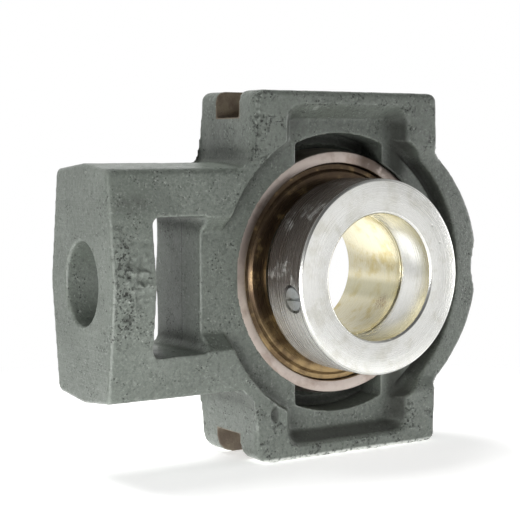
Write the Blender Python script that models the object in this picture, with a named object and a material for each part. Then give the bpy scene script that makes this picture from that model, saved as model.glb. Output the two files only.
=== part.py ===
"""Take-up bearing unit: a cast housing that slides between two guide bars, with a
self-aligning ball bearing and an eccentric locking collar. Metres, +Z up.

The shaft runs along Y, and the collar faces -Y. The adjusting lug points to -X.
The origin is the middle of the lower guide groove's floor, straight under the shaft.
"""

import math

import bmesh
import bpy
from mathutils import Matrix, Vector

# Housing: outside
GUIDE_SPAN = 0.089
GROOVE_WIDTH = 0.012
HOUSING_HEIGHT = 0.104
HOUSING_DEPTH = 0.030
EAR_LENGTH = 0.064
EAR_TOP_RADIUS = 0.0026
EAR_BOTTOM_RADIUS = 0.0050
NOSE_WALL = 0.0147
NOSE_RADIUS = 0.042
NOSE_DEPTH = 0.024
NOSE_FILLET = 0.0020
NOSE_EDGE = 0.0006
NOSE_EDGE_REACH_DEG = 48.0
NOSE_EDGE_FADE_DEG = 8.0
CASTING_EDGE = 0.0012

# Housing: adjusting lug and its two arms
LUG_REACH = 0.078
LUG_HEIGHT = 0.064
LUG_SHOULDER_HEIGHT = 0.061
LUG_DEPTH = 0.038
LUG_HOLE_HALF_WIDTH = 0.0094
LUG_HOLE_HALF_HEIGHT = 0.0114
LUG_HOLE_MOUTH = 0.0004
LUG_EDGE = 0.0006
LUG_CORNER = 0.0018
SLOT_FAR = 0.065
SLOT_NEAR = 0.0472
SLOT_HEIGHT = 0.0365
SLOT_SAG = 0.0007
SLOT_CORNER = 0.0022
SLOT_DRAFT = 0.0005
ARM_FILLET = 0.0040
ARM_TAPER_END = 0.0385

# Housing: recessed faces round the seat
BOSS_DEPTH = 0.0192
POCKET_FROM_SEAT = 0.0073
POCKET_HALF_LENGTH = 0.0220
POCKET_HALF_HEIGHT = 0.0484
POCKET_WALL_RUN = 0.0042
POCKET_ROUND_RUN = 0.0013
POCKET_FLOOR_CORNER = 0.0010
WEB_WALL_RUN = 0.0044
VALLEY_FROM_SEAT = 0.0032
VALLEY_DEPTH = 0.0022
VALLEY_REACH_DEG = 61.0
VALLEY_FADE_DEG = 12.0
NOSE_RAMP_START = 0.0315
NOSE_RAMP_END = 0.0375
FILLING_SLOT_WIDTH = 0.0310
FILLING_SLOT_FROM_SEAT = 0.0040
FILLING_SLOT_PAST_MIDDLE = 0.0010

# Grease nipple and its seat on the nose
SCALLOP_RADIUS = 0.0210
SCALLOP_DEPTH = 0.0022
SPOT_FACE_RADIUS = 0.0056
SPOT_FACE_DEPTH = 0.0003
NIPPLE_THREAD_RADIUS = 0.0030
NIPPLE_THREAD_LENGTH = 0.0055
NIPPLE_HEX_ACROSS = 0.0080
NIPPLE_HEX_THICKNESS = 0.0028
NIPPLE_NECK_RADIUS = 0.0023
NIPPLE_NECK_LENGTH = 0.0020
NIPPLE_HEAD_RADIUS = 0.0032
NIPPLE_HEAD_LENGTH = 0.0036
NIPPLE_HEAD_RISE = 0.0013
NIPPLE_HEAD_BAND = 0.0009
NIPPLE_BORE_RADIUS = 0.0017
NIPPLE_MOUTH_RADIUS = 0.0009
NIPPLE_MOUTH_LENGTH = 0.0007
CHECK_BALL_RADIUS = 0.0013
SPRING_WIRE_RADIUS = 0.0002
SPRING_TURNS = 5
GREASE_HOLE_RADIUS = 0.0016
GREASE_GROOVE_WIDTH = 0.0040
GREASE_GROOVE_DEPTH = 0.0008

# Bearing insert
SHAFT_RADIUS = 0.0175
OUTER_RING_RADIUS = 0.036
OUTER_RING_WIDTH = 0.017
OUTER_LAND_RISE = 0.00355
SEAL_SEAT_STEP = 0.0014
SEAL_SEAT_DEPTH = 0.0032
RING_CHAMFER = 0.0004
BALL_RADIUS = 0.005556
BALL_COUNT = 9
INNER_LAND_DROP = 0.0033
INNER_RING_FRONT = 0.0159
INNER_RING_BACK = 0.0095
CAGE_THICKNESS = 0.0039
CAGE_WEB = 0.0006
CAGE_CLAW_REACH = 0.0026
CAGE_GAP_WIDTH = 0.0032

# Seals: two pressed washers with a rubber lip between them, on each side
WASHER_THICKNESS = 0.0004
LIP_THICKNESS = 0.0004
WASHER_RIM_WIDTH = 0.0014
WASHER_DISH = 0.0011
WASHER_DISH_RUN = 0.0008
SEAL_RECESS = 0.0002
WASHER_CLEARANCE = 0.00115

# Eccentric locking collar and its set screw
COLLAR_WALL = 0.0097
COLLAR_FRONT = 0.0294
COLLAR_BACK = 0.0129
COLLAR_CHAMFER = 0.0006
CAM_WALL = 0.0045
CAM_LENGTH = 0.0034
ECCENTRICITY = 0.0008
CAM_CLEARANCE = 0.0004
SET_SCREW_RADIUS = 0.0037
SET_SCREW_LENGTH = 0.0088
SET_SCREW_SUNK = 0.0004
SET_SCREW_SLOT = 0.0009
SET_SCREW_SLOT_DEPTH = 0.0016
SET_SCREW_SLOT_DEG = 2.0
SET_SCREW_FROM_FRONT = 0.0048
SET_SCREW_DEG = 190.7
DRIFT_HOLE_RADIUS = 0.0033
DRIFT_HOLE_DEPTH = 0.0040
DRIFT_HOLE_DEG = 0.0

# Running clearance between neighbouring solids
GAP = 0.0003

# How far a cutting shape runs past the face it cuts, and past the whole housing
CUT_PAST = 0.0020
OVERSHOOT = 0.010

# Fineness
FINE_STEPS = 60
RING_STEPS = 40
SEAT_RINGS = 20
SEAL_STEPS = 32
HOLE_STEPS = 32
NIPPLE_STEPS = 24
SMALL_STEPS = 20
TINY_STEPS = 14
NOSE_STEPS = 20
VALLEY_STEPS = 19
RAMP_STEPS = 4
NOTCH_STEPS = 8
ARC_STEPS = 3
RACEWAY_STEPS = 5
POCKET_SEGMENTS = 14
BALL_SEGMENTS = 12
BALL_RINGS = 8
COIL_STEPS = 8

SHAFT_HEIGHT = GUIDE_SPAN / 2
PITCH_RADIUS = (SHAFT_RADIUS + OUTER_RING_RADIUS) / 2
RACEWAY_RADIUS = BALL_RADIUS + GAP
INNER_RING_RADIUS = PITCH_RADIUS - INNER_LAND_DROP
OUTER_RING_BORE = PITCH_RADIUS + OUTER_LAND_RISE
SEAL_SEAT_RADIUS = OUTER_RING_BORE + SEAL_SEAT_STEP
WASHER_BORE = INNER_RING_RADIUS + WASHER_CLEARANCE
CAM_RADIUS = SHAFT_RADIUS + CAM_WALL
COLLAR_BORE = SHAFT_RADIUS + GAP
COLLAR_RADIUS = COLLAR_BORE + COLLAR_WALL
SEAT_RADIUS = OUTER_RING_RADIUS + GAP
NOSE_REACH = SEAT_RADIUS + NOSE_WALL
NOSE_CENTRE = NOSE_REACH - NOSE_RADIUS
POCKET_RADIUS = SEAT_RADIUS + POCKET_FROM_SEAT
VALLEY_INNER_RADIUS = SEAT_RADIUS + VALLEY_FROM_SEAT
FILLING_SLOT_RADIUS = SEAT_RADIUS + FILLING_SLOT_FROM_SEAT
SLOT_MIDDLE = -(SLOT_FAR + SLOT_NEAR) / 2


def material(name, colour, roughness, metallic):
    """A plain Principled material of one colour."""
    made = bpy.data.materials.new(name)
    made.use_nodes = True
    shader = made.node_tree.nodes["Principled BSDF"]
    shader.inputs["Base Color"].default_value = (*colour, 1.0)
    shader.inputs["Roughness"].default_value = roughness
    shader.inputs["Metallic"].default_value = metallic
    return made


def place(name, bm, look, parent, smooth=True):
    """Turn a bmesh into a named object under its parent."""
    bmesh.ops.recalc_face_normals(bm, faces=bm.faces)
    if bm.calc_volume(signed=True) < 0:
        bmesh.ops.reverse_faces(bm, faces=bm.faces)
    mesh = bpy.data.meshes.new(name)
    bm.to_mesh(mesh)
    bm.free()
    if smooth:
        mesh.shade_smooth()
        mesh.set_sharp_from_angle(angle=math.radians(35))
    made = bpy.data.objects.new(name, mesh)
    if look:
        mesh.materials.append(look)
    made.parent = parent
    bpy.context.collection.objects.link(made)
    return made


def combine(target, name, bm, operation):
    """Cut a shape out of the target, or add it, with a Boolean."""
    tool = place(name, bm, None, target.parent, smooth=False)
    tool.hide_render = True
    tool.display_type = "WIRE"
    step = target.modifiers.new(name, "BOOLEAN")
    step.operation = operation
    step.solver = "EXACT"
    step.object = tool


def cut(target, name, bm):
    combine(target, name, bm, "DIFFERENCE")


def add(target, name, bm):
    combine(target, name, bm, "UNION")


def empty(name, location, parent=None):
    made = bpy.data.objects.new(name, None)
    made.location = location
    made.parent = parent
    bpy.context.collection.objects.link(made)
    return made


def arc(centre, radius, start_deg, end_deg, steps):
    """Points along an arc, both ends included."""
    span = end_deg - start_deg
    angles = [math.radians(start_deg + span * i / steps) for i in range(steps + 1)]
    return [(centre[0] + radius * math.cos(a), centre[1] + radius * math.sin(a)) for a in angles]


def rounded(corners, steps=ARC_STEPS):
    """An outline from (u, v, radius) corners; a radius of 0 keeps the corner."""
    outline = []
    count = len(corners)
    for i, (u, v, radius) in enumerate(corners):
        here = Vector((u, v))
        if radius == 0:
            outline.append((u, v))
            continue
        before = (Vector(corners[i - 1][:2]) - here).normalized()
        after = (Vector(corners[(i + 1) % count][:2]) - here).normalized()
        half = before.angle(after) / 2
        centre = here + (before + after).normalized() * (radius / math.sin(half))
        start = here + before * (radius / math.tan(half)) - centre
        end = here + after * (radius / math.tan(half)) - centre
        turn = end.angle_signed(start)
        for k in range(steps + 1):
            point = centre + Matrix.Rotation(turn * k / steps, 2) @ start
            outline.append((point.x, point.y))
    return outline


def loft(sections, twisted=False):
    """A closed solid through sections with equal point counts, capped at both ends.

    Sides that twist are split, so that every face is flat.
    """
    bm = bmesh.new()
    loops = [[bm.verts.new(p) for p in section] for section in sections]
    for low, high in zip(loops, loops[1:]):
        for i in range(len(low)):
            j = (i + 1) % len(low)
            bm.faces.new((low[i], low[j], high[j], high[i]))
    bm.faces.new(loops[0])
    bm.faces.new(reversed(loops[-1]))
    if twisted:
        sides = [face for face in bm.faces if len(face.verts) == 4]
        bmesh.ops.triangulate(bm, faces=sides)
    return bm


def prism_y(outline, front, back, edge=0.0):
    """Extrude an X-Z outline along Y, and bevel the rims of its two ends."""
    bm = loft([[(x, y, z) for x, z in outline] for y in (front, back)])
    if edge:
        rims = [e for e in bm.edges if abs(e.verts[0].co.y - e.verts[1].co.y) < 1e-7]
        bmesh.ops.bevel(bm, geom=rims, offset=edge, segments=2, profile=0.5,
                        affect="EDGES", clamp_overlap=True)
    return bm


def box(low, high):
    """A plain box between two corners."""
    outline = [(low[0], low[2]), (high[0], low[2]), (high[0], high[2]), (low[0], high[2])]
    return prism_y(outline, low[1], high[1])


def turned(profile, steps, axis="Y"):
    """Turn a closed (radius, along) profile about the Y or X axis."""
    bm = bmesh.new()
    if axis == "Y":
        verts = [bm.verts.new((r, along, 0)) for r, along in profile]
    else:
        verts = [bm.verts.new((along, r, 0)) for r, along in profile]
    edges = [bm.edges.new((verts[i], verts[(i + 1) % len(verts)])) for i in range(len(verts))]
    direction = (0, 1, 0) if axis == "Y" else (1, 0, 0)
    bmesh.ops.spin(bm, geom=verts + edges, cent=(0, 0, 0), axis=direction,
                   angle=math.tau, steps=steps, use_merge=True)
    bmesh.ops.remove_doubles(bm, verts=bm.verts, dist=1e-6)
    return bm


def rod(radius_from, radius_to, start, end, steps):
    """A round bar between two points, as a cone where its two radii differ."""
    start, end = Vector(start), Vector(end)
    bm = bmesh.new()
    bmesh.ops.create_cone(bm, cap_ends=True, segments=steps, radius1=radius_from,
                          radius2=radius_to, depth=(end - start).length)
    turn = (end - start).to_track_quat("Z", "Y").to_matrix().to_4x4()
    bm.transform(Matrix.Translation((start + end) / 2) @ turn)
    return bm


def ball(radius, centre, segments=BALL_SEGMENTS, rings=BALL_RINGS):
    """A ball whose poles lie on a line along Y."""
    bm = bmesh.new()
    bmesh.ops.create_uvsphere(bm, u_segments=segments, v_segments=rings, radius=radius)
    bm.transform(Matrix.Translation(centre) @ Matrix.Rotation(math.pi / 2, 4, "X"))
    return bm


def swept_groove(profile_at, centre_x, start_deg, end_deg, steps):
    """A ring sector about (centre_x, 0) whose (radius, y) section changes with the angle from +X."""
    sections = []
    for i in range(steps + 1):
        degrees = start_deg + (end_deg - start_deg) * i / steps
        a = math.radians(degrees)
        profile = profile_at(degrees)
        sections.append([(centre_x + r * math.cos(a), y, r * math.sin(a)) for r, y in profile])
    return loft(sections, twisted=True)


def ease(value, low, high):
    """A smooth step from 0 at low to 1 at high."""
    t = min(max((value - low) / (high - low), 0.0), 1.0)
    return t * t * (3 - 2 * t)


def head_outline():
    """Ears, nose and the root of the two arms, seen from the front."""
    half_length, half_height = EAR_LENGTH / 2, HOUSING_HEIGHT / 2
    arm = LUG_SHOULDER_HEIGHT / 2
    fillet_x = half_length + NOSE_FILLET
    fillet_z = math.sqrt((NOSE_RADIUS + NOSE_FILLET) ** 2 - (fillet_x - NOSE_CENTRE) ** 2)
    bearing = math.degrees(math.atan2(fillet_z, fillet_x - NOSE_CENTRE))
    top = arc((fillet_x, fillet_z), NOSE_FILLET, 180, 180 + bearing, ARC_STEPS)
    nose = arc((NOSE_CENTRE, 0), NOSE_RADIUS, bearing, -bearing, NOSE_STEPS)[1:-1]
    bottom = [(x, -z) for x, z in reversed(top)]
    corners = [(-half_length, half_height, EAR_TOP_RADIUS), (half_length, half_height, EAR_TOP_RADIUS)]
    corners += [(x, z, 0) for x, z in top + nose + bottom]
    corners += [
        (half_length, -half_height, EAR_TOP_RADIUS),
        (-half_length, -half_height, EAR_BOTTOM_RADIUS),
        (-half_length, -arm, ARM_FILLET),
        (-ARM_TAPER_END, -arm, 0),
        (-ARM_TAPER_END, arm, 0),
        (-half_length, arm, ARM_FILLET),
    ]
    return rounded(corners)


def lug_section(x, bulge, inset=0.0):
    """The lug's outline across X: its faces swell to the middle, with a ridge on the parting line."""
    side, swell = HOUSING_DEPTH / 2 - inset, bulge / 2 - inset
    shoulder, ridge = LUG_SHOULDER_HEIGHT / 2 - inset, LUG_HEIGHT / 2 - inset
    corners = [
        (-side, -shoulder, LUG_CORNER), (-swell, 0, 0), (-side, shoulder, LUG_CORNER), (0, ridge, 0),
        (side, shoulder, LUG_CORNER), (swell, 0, 0), (side, -shoulder, LUG_CORNER), (0, -ridge, 0),
    ]
    return [(x, y, z) for y, z in rounded(corners)]


def lug():
    """The adjusting lug and its arms, before the slot and the screw hole."""
    return loft([
        lug_section(-LUG_REACH, LUG_DEPTH, LUG_EDGE),
        lug_section(-LUG_REACH + LUG_EDGE, LUG_DEPTH),
        lug_section(-SLOT_FAR, LUG_DEPTH),
        lug_section(-ARM_TAPER_END, HOUSING_DEPTH),
        lug_section(-EAR_LENGTH / 2 + CUT_PAST, HOUSING_DEPTH),
    ], twisted=True)


def pocket_tools(side):
    """The recess round the boss on one face: a round part and a tall part, both with sloped walls.

    side is -1 for the front face and 1 for the back.
    """
    depth = (HOUSING_DEPTH - BOSS_DEPTH) / 2
    face, floor = side * (HOUSING_DEPTH / 2 + CUT_PAST), side * BOSS_DEPTH / 2
    flare = POCKET_ROUND_RUN * CUT_PAST / depth
    round_part = rod(POCKET_RADIUS + flare, POCKET_RADIUS - POCKET_ROUND_RUN,
                     (0, face, 0), (0, floor, 0), FINE_STEPS)

    def tall(extra):
        length, height = POCKET_HALF_LENGTH + extra, POCKET_HALF_HEIGHT + extra
        corner = POCKET_FLOOR_CORNER + POCKET_WALL_RUN + extra
        return rounded([(-length, -height, corner), (length, -height, corner),
                        (length, height, corner), (-length, height, corner)])

    tall_part = loft([
        [(x, face, z) for x, z in tall(POCKET_WALL_RUN * CUT_PAST / depth)],
        [(x, floor, z) for x, z in tall(-POCKET_WALL_RUN)],
    ], twisted=True)
    return round_part, tall_part


def web_recess():
    """The low face between the slot and the boss, on the front only. Its walls start at the slot's."""
    mouth = SLOT_HEIGHT / 2
    far, near = SLOT_MIDDLE, -ARM_TAPER_END + CUT_PAST

    def section(y, half):
        corners = ((far, -half), (near, -half), (near, half), (far, half))
        return [(x, y, z - SLOT_SAG) for x, z in corners]

    return loft([
        section(-LUG_DEPTH / 2, mouth),
        section(-HOUSING_DEPTH / 2, mouth),
        section(-BOSS_DEPTH / 2, mouth - WEB_WALL_RUN),
    ])


def nose_relief(side):
    """Lowers the nose's face below the ears' faces, with a soft ramp up to each ear."""
    high, low = HOUSING_DEPTH / 2 + GAP, NOSE_DEPTH / 2
    near, far = POCKET_HALF_LENGTH - POCKET_WALL_RUN / 2, NOSE_REACH + OVERSHOOT
    ramp = [NOSE_RAMP_START + (NOSE_RAMP_END - NOSE_RAMP_START) * i / RAMP_STEPS
            for i in range(RAMP_STEPS + 1)]

    def section(z):
        level = low + (high - low) * ease(abs(z), NOSE_RAMP_START, NOSE_RAMP_END)
        corners = ((near, level), (far, level), (far, HOUSING_DEPTH), (near, HOUSING_DEPTH))
        return [(x, side * y, z) for x, y in corners]

    return loft([section(-z) for z in reversed(ramp)] + [section(z) for z in ramp])


def nose_edge(side):
    """Breaks the outer edge of the nose's face, and runs out past it towards the ears."""
    level = NOSE_DEPTH / 2

    def profile(degrees):
        fade = ease(NOSE_EDGE_REACH_DEG - abs(degrees), 0, NOSE_EDGE_FADE_DEG)
        edge = NOSE_EDGE * (2 * fade - 1)
        inner, outer = NOSE_RADIUS - edge - CUT_PAST, NOSE_RADIUS + CUT_PAST
        return [(inner, side * (level + CUT_PAST)), (outer, side * (level - edge - CUT_PAST)),
                (outer, side * HOUSING_DEPTH), (inner, side * HOUSING_DEPTH)]

    return swept_groove(profile, NOSE_CENTRE, -NOSE_EDGE_REACH_DEG, NOSE_EDGE_REACH_DEG, NOSE_STEPS)


def valley(side):
    """The rounded groove between the boss and the nose's rim."""
    face = BOSS_DEPTH / 2 + GAP
    outer = POCKET_RADIUS - POCKET_ROUND_RUN
    bed = (outer - VALLEY_INNER_RADIUS) / 3

    def profile(degrees):
        fade = ease(VALLEY_REACH_DEG - abs(degrees), 0, VALLEY_FADE_DEG)
        floor = face - GAP / 2 - VALLEY_DEPTH * fade
        return [(VALLEY_INNER_RADIUS, side * face), (VALLEY_INNER_RADIUS + bed, side * floor),
                (outer - bed, side * floor), (outer + GAP, side * face)]

    return swept_groove(profile, 0, -VALLEY_REACH_DEG, VALLEY_REACH_DEG, VALLEY_STEPS)


def slot_tool():
    """The window behind the lug, narrowest on the parting line."""
    def section(y, widen):
        low, high = -SLOT_FAR - widen, -SLOT_NEAR + widen
        half = SLOT_HEIGHT / 2 + widen
        outline = rounded([(low, -half, SLOT_CORNER), (high, -half, SLOT_CORNER),
                           (high, half, SLOT_CORNER), (low, half, SLOT_CORNER)])
        return [(x, y, z - SLOT_SAG) for x, z in outline]

    reach = LUG_DEPTH / 2 + CUT_PAST
    return loft([section(-reach, SLOT_DRAFT), section(0, 0), section(reach, SLOT_DRAFT)])


def lug_hole():
    """The oval hole through the lug for the adjusting screw, with a broken mouth."""
    def section(x, extra):
        wide, tall = LUG_HOLE_HALF_WIDTH + extra, LUG_HOLE_HALF_HEIGHT + extra
        angles = [math.tau * i / HOLE_STEPS for i in range(HOLE_STEPS)]
        return [(x, wide * math.cos(a), tall * math.sin(a)) for a in angles]

    return loft([
        section(-LUG_REACH - LUG_HOLE_MOUTH, 2 * LUG_HOLE_MOUTH),
        section(-LUG_REACH + LUG_HOLE_MOUTH, 0),
        section(SLOT_MIDDLE, 0),
    ], twisted=True)


def filling_slot():
    """Two notches at the top and bottom of the seat, where the insert is slipped in edgeways."""
    lean = math.degrees(math.asin(FILLING_SLOT_WIDTH / 2 / FILLING_SLOT_RADIUS))
    top = arc((0, 0), FILLING_SLOT_RADIUS, 90 - lean, 90 + lean, NOTCH_STEPS)
    outline = top + [(-x, -z) for x, z in top]
    return prism_y(outline, -HOUSING_DEPTH / 2, FILLING_SLOT_PAST_MIDDLE)


def guide_groove(side):
    """The groove along one ear that a guide bar runs in; side is 1 for the upper and -1 for the lower."""
    floor, past = side * GUIDE_SPAN / 2, side * (HOUSING_HEIGHT / 2 + OVERSHOOT)
    half = GROOVE_WIDTH / 2
    return box((-EAR_LENGTH, -half, min(floor, past)), (EAR_LENGTH, half, max(floor, past)))


def cut_nipple_seat(housing):
    """The scalloped pad on the nose, the nipple's threaded hole, and the way to the seat."""
    floor = NOSE_REACH - SCALLOP_DEPTH
    middle, half_length = floor + SCALLOP_RADIUS, LUG_DEPTH / 2
    cut(housing, "nipple_scallop", rod(SCALLOP_RADIUS, SCALLOP_RADIUS, (middle, -half_length, 0),
                                       (middle, half_length, 0), FINE_STEPS))
    outside = floor + OVERSHOOT
    cut(housing, "nipple_spot_face", rod(SPOT_FACE_RADIUS, SPOT_FACE_RADIUS,
                                         (floor - SPOT_FACE_DEPTH, 0, 0), (outside, 0, 0), NIPPLE_STEPS))
    thread, depth = NIPPLE_THREAD_RADIUS + GAP, SPOT_FACE_DEPTH + NIPPLE_THREAD_LENGTH
    cut(housing, "nipple_hole", rod(thread, thread, (floor - depth, 0, 0), (outside, 0, 0), TINY_STEPS))
    cut(housing, "grease_hole", rod(GREASE_HOLE_RADIUS, GREASE_HOLE_RADIUS,
                                    (SEAT_RADIUS - CUT_PAST, 0, 0), (floor, 0, 0), TINY_STEPS))


def cut_seat(housing):
    """The spherical seat, its grease groove and the slot that the insert goes in by."""
    cut(housing, "filling_slot", filling_slot())
    cut(housing, "seat", ball(SEAT_RADIUS, (0, 0, 0), RING_STEPS, SEAT_RINGS))
    inner, outer = SEAT_RADIUS - CUT_PAST, SEAT_RADIUS + GREASE_GROOVE_DEPTH
    half = GREASE_GROOVE_WIDTH / 2
    profile = [(inner, -half), (outer, -half), (outer, half), (inner, half)]
    cut(housing, "grease_groove", turned(profile, RING_STEPS))


def make_housing(shaft, look):
    half_depth = HOUSING_DEPTH / 2
    head = prism_y(head_outline(), -half_depth, half_depth, CASTING_EDGE)
    housing = place("housing", head, look, shaft)
    add(housing, "lug_form", lug())
    for side, face in ((-1, "front"), (1, "back")):
        round_part, tall_part = pocket_tools(side)
        cut(housing, face + "_round_pocket", round_part)
        cut(housing, face + "_tall_pocket", tall_part)
        cut(housing, face + "_nose_relief", nose_relief(side))
        cut(housing, face + "_nose_edge", nose_edge(side))
        cut(housing, face + "_valley", valley(side))
    cut(housing, "web_recess", web_recess())
    cut(housing, "slot", slot_tool())
    cut(housing, "lug_hole", lug_hole())
    cut_seat(housing)
    cut(housing, "upper_groove", guide_groove(1))
    cut(housing, "lower_groove", guide_groove(-1))
    cut_nipple_seat(housing)


def raceway(sign):
    """Points of a ball groove from front to back; sign is 1 in the outer ring and -1 in the inner."""
    land = OUTER_RING_BORE if sign > 0 else INNER_RING_RADIUS
    half = math.acos(abs(land - PITCH_RADIUS) / RACEWAY_RADIUS)
    points = []
    for i in range(RACEWAY_STEPS + 1):
        a = -half + 2 * half * i / RACEWAY_STEPS
        points.append((PITCH_RADIUS + sign * RACEWAY_RADIUS * math.cos(a), RACEWAY_RADIUS * math.sin(a)))
    return points


def outer_ring_profile():
    face = OUTER_RING_WIDTH / 2
    shoulder = face - RING_CHAMFER
    seal = face - SEAL_SEAT_DEPTH
    edge = math.sqrt(OUTER_RING_RADIUS**2 - face**2) - RING_CHAMFER
    ball_face = [(math.sqrt(OUTER_RING_RADIUS**2 - y**2), y)
                 for y in (shoulder * i / 3 for i in range(-3, 4))]
    back = [(edge, face), (SEAL_SEAT_RADIUS, face), (SEAL_SEAT_RADIUS, seal), (OUTER_RING_BORE, seal)]
    front = [(r, -y) for r, y in reversed(back)]
    return ball_face + back + list(reversed(raceway(1))) + front


def inner_ring_profile():
    front, back, chamfer = -INNER_RING_FRONT, INNER_RING_BACK, RING_CHAMFER
    cam_end = front + CAM_LENGTH
    return [
        (SHAFT_RADIUS + chamfer, front), (CAM_RADIUS - chamfer, front), (CAM_RADIUS, front + chamfer),
        (CAM_RADIUS, cam_end), (INNER_RING_RADIUS, cam_end), *raceway(-1),
        (INNER_RING_RADIUS, back - chamfer), (INNER_RING_RADIUS - chamfer, back),
        (SHAFT_RADIUS + chamfer, back), (SHAFT_RADIUS, back - chamfer), (SHAFT_RADIUS, front + chamfer),
    ]


def shift_ring(bm, radius, slack, past):
    """Move the points of one round surface off centre, to make it eccentric."""
    for vert in bm.verts:
        on_ring = abs(math.hypot(vert.co.x, vert.co.z) - radius) < slack
        if on_ring and vert.co.y < past:
            vert.co.z += ECCENTRICITY


def make_inner_ring(parent, look):
    bm = turned(inner_ring_profile(), RING_STEPS)
    shift_ring(bm, CAM_RADIUS - RING_CHAMFER / 2, RING_CHAMFER, -INNER_RING_FRONT + CAM_LENGTH + GAP / 2)
    return place("inner_ring", bm, look, parent)


def make_collar(parent, look):
    front, back, chamfer = -COLLAR_FRONT, -COLLAR_BACK, COLLAR_CHAMFER
    recess = CAM_RADIUS + CAM_CLEARANCE
    floor = -INNER_RING_FRONT - GAP
    profile = [
        (COLLAR_BORE + chamfer, front), (COLLAR_RADIUS - chamfer, front), (COLLAR_RADIUS, front + chamfer),
        (COLLAR_RADIUS, back - chamfer), (COLLAR_RADIUS - chamfer, back), (recess, back),
        (recess, floor), (COLLAR_BORE, floor), (COLLAR_BORE, front + chamfer),
    ]
    bm = turned(profile, FINE_STEPS)
    shift_ring(bm, recess, RING_CHAMFER / 4, back + GAP)
    collar = place("eccentric_collar", bm, look, parent)
    y = front + SET_SCREW_FROM_FRONT
    hole = SET_SCREW_RADIUS + GAP
    outside = COLLAR_RADIUS + CUT_PAST
    cut(collar, "set_screw_hole", rod(hole, hole, radial(SET_SCREW_DEG, SHAFT_RADIUS - CUT_PAST, y),
                                      radial(SET_SCREW_DEG, outside, y), SMALL_STEPS))
    cut(collar, "drift_hole", rod(DRIFT_HOLE_RADIUS, DRIFT_HOLE_RADIUS,
                                  radial(DRIFT_HOLE_DEG, COLLAR_RADIUS - DRIFT_HOLE_DEPTH, y),
                                  radial(DRIFT_HOLE_DEG, outside, y), TINY_STEPS))


def radial(degrees, radius, y):
    """A point at an angle from +X round the shaft."""
    a = math.radians(degrees)
    return Vector((radius * math.cos(a), y, radius * math.sin(a)))


def make_set_screw(parent, look):
    y = -COLLAR_FRONT + SET_SCREW_FROM_FRONT
    top = COLLAR_RADIUS - SET_SCREW_SUNK
    tip = top - SET_SCREW_LENGTH
    bm = rod(SET_SCREW_RADIUS, SET_SCREW_RADIUS, radial(SET_SCREW_DEG, tip, y),
             radial(SET_SCREW_DEG, top, y), SMALL_STEPS)
    screw = place("collar_set_screw", bm, look, parent)
    reach = SET_SCREW_RADIUS + CUT_PAST
    slot = box((top - SET_SCREW_SLOT_DEPTH, -reach, -SET_SCREW_SLOT / 2),
               (top + CUT_PAST, reach, SET_SCREW_SLOT / 2))
    slot.transform(Matrix.Rotation(math.radians(SET_SCREW_SLOT_DEG), 4, "X"))
    slot.transform(Matrix.Translation((0, y, 0)) @ Matrix.Rotation(-math.radians(SET_SCREW_DEG), 4, "Y"))
    cut(screw, "set_screw_slot", slot)


def make_cage(parent, look):
    inner, outer = PITCH_RADIUS - CAGE_THICKNESS / 2, PITCH_RADIUS + CAGE_THICKNESS / 2
    pocket = BALL_RADIUS + GAP
    profile = [(inner, -CAGE_CLAW_REACH), (outer, -CAGE_CLAW_REACH), (outer, pocket + CAGE_WEB),
               (inner, pocket + CAGE_WEB)]
    cage = place("ball_cage", turned(profile, SEAL_STEPS), look, parent)
    for i in range(BALL_COUNT):
        degrees = 90 + 360 * i / BALL_COUNT
        cut(cage, f"pocket_{i + 1}", ball(pocket, radial(degrees, PITCH_RADIUS, 0), POCKET_SEGMENTS))
        between = degrees + 180 / BALL_COUNT
        gap = box((inner - CUT_PAST, -CAGE_CLAW_REACH - CUT_PAST, -CAGE_GAP_WIDTH / 2),
                  (outer + CUT_PAST, CAGE_CLAW_REACH / 2, CAGE_GAP_WIDTH / 2))
        gap.transform(Matrix.Rotation(-math.radians(between), 4, "Y"))
        cut(cage, f"claw_gap_{i + 1}", gap)


def dished_ring(side, level, thickness, bore, steps):
    """A pressed ring: a rim in the seal seat, and a face dished outwards to the level."""
    rim_outer = SEAL_SEAT_RADIUS - GAP
    rim_inner = rim_outer - WASHER_RIM_WIDTH
    low, start = level - WASHER_DISH, rim_inner - WASHER_DISH_RUN
    outside = [(rim_outer, low), (rim_inner, low), (start, level), (bore, level)]
    inside = [(r, y - thickness) for r, y in reversed(outside)]
    return turned([(r, side * y) for r, y in outside + inside], steps)


def make_seal(side, end, parent, steel, rubber):
    """One seal, from the outside in: washer, rubber lip, washer."""
    level = OUTER_RING_WIDTH / 2 - SEAL_RECESS
    outer = dished_ring(side, level, WASHER_THICKNESS, WASHER_BORE, RING_STEPS)
    place(f"{end}_seal_outer_washer", outer, steel, parent)
    level -= WASHER_THICKNESS + GAP
    lip = dished_ring(side, level, LIP_THICKNESS, INNER_RING_RADIUS + GAP, SEAL_STEPS)
    place(f"{end}_seal_lip", lip, rubber, parent)
    level -= LIP_THICKNESS + GAP
    inner = dished_ring(side, level, WASHER_THICKNESS, WASHER_BORE, SEAL_STEPS)
    place(f"{end}_seal_inner_washer", inner, steel, parent)


def nipple_places():
    """Stations along X of the grease nipple: hex seat, hex top, neck top, head top, thread end."""
    seat = NOSE_REACH - SCALLOP_DEPTH - SPOT_FACE_DEPTH + GAP
    hex_top = seat + NIPPLE_HEX_THICKNESS
    neck_top = hex_top + NIPPLE_NECK_LENGTH
    return seat, hex_top, neck_top, neck_top + NIPPLE_HEAD_LENGTH, seat - NIPPLE_THREAD_LENGTH


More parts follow.
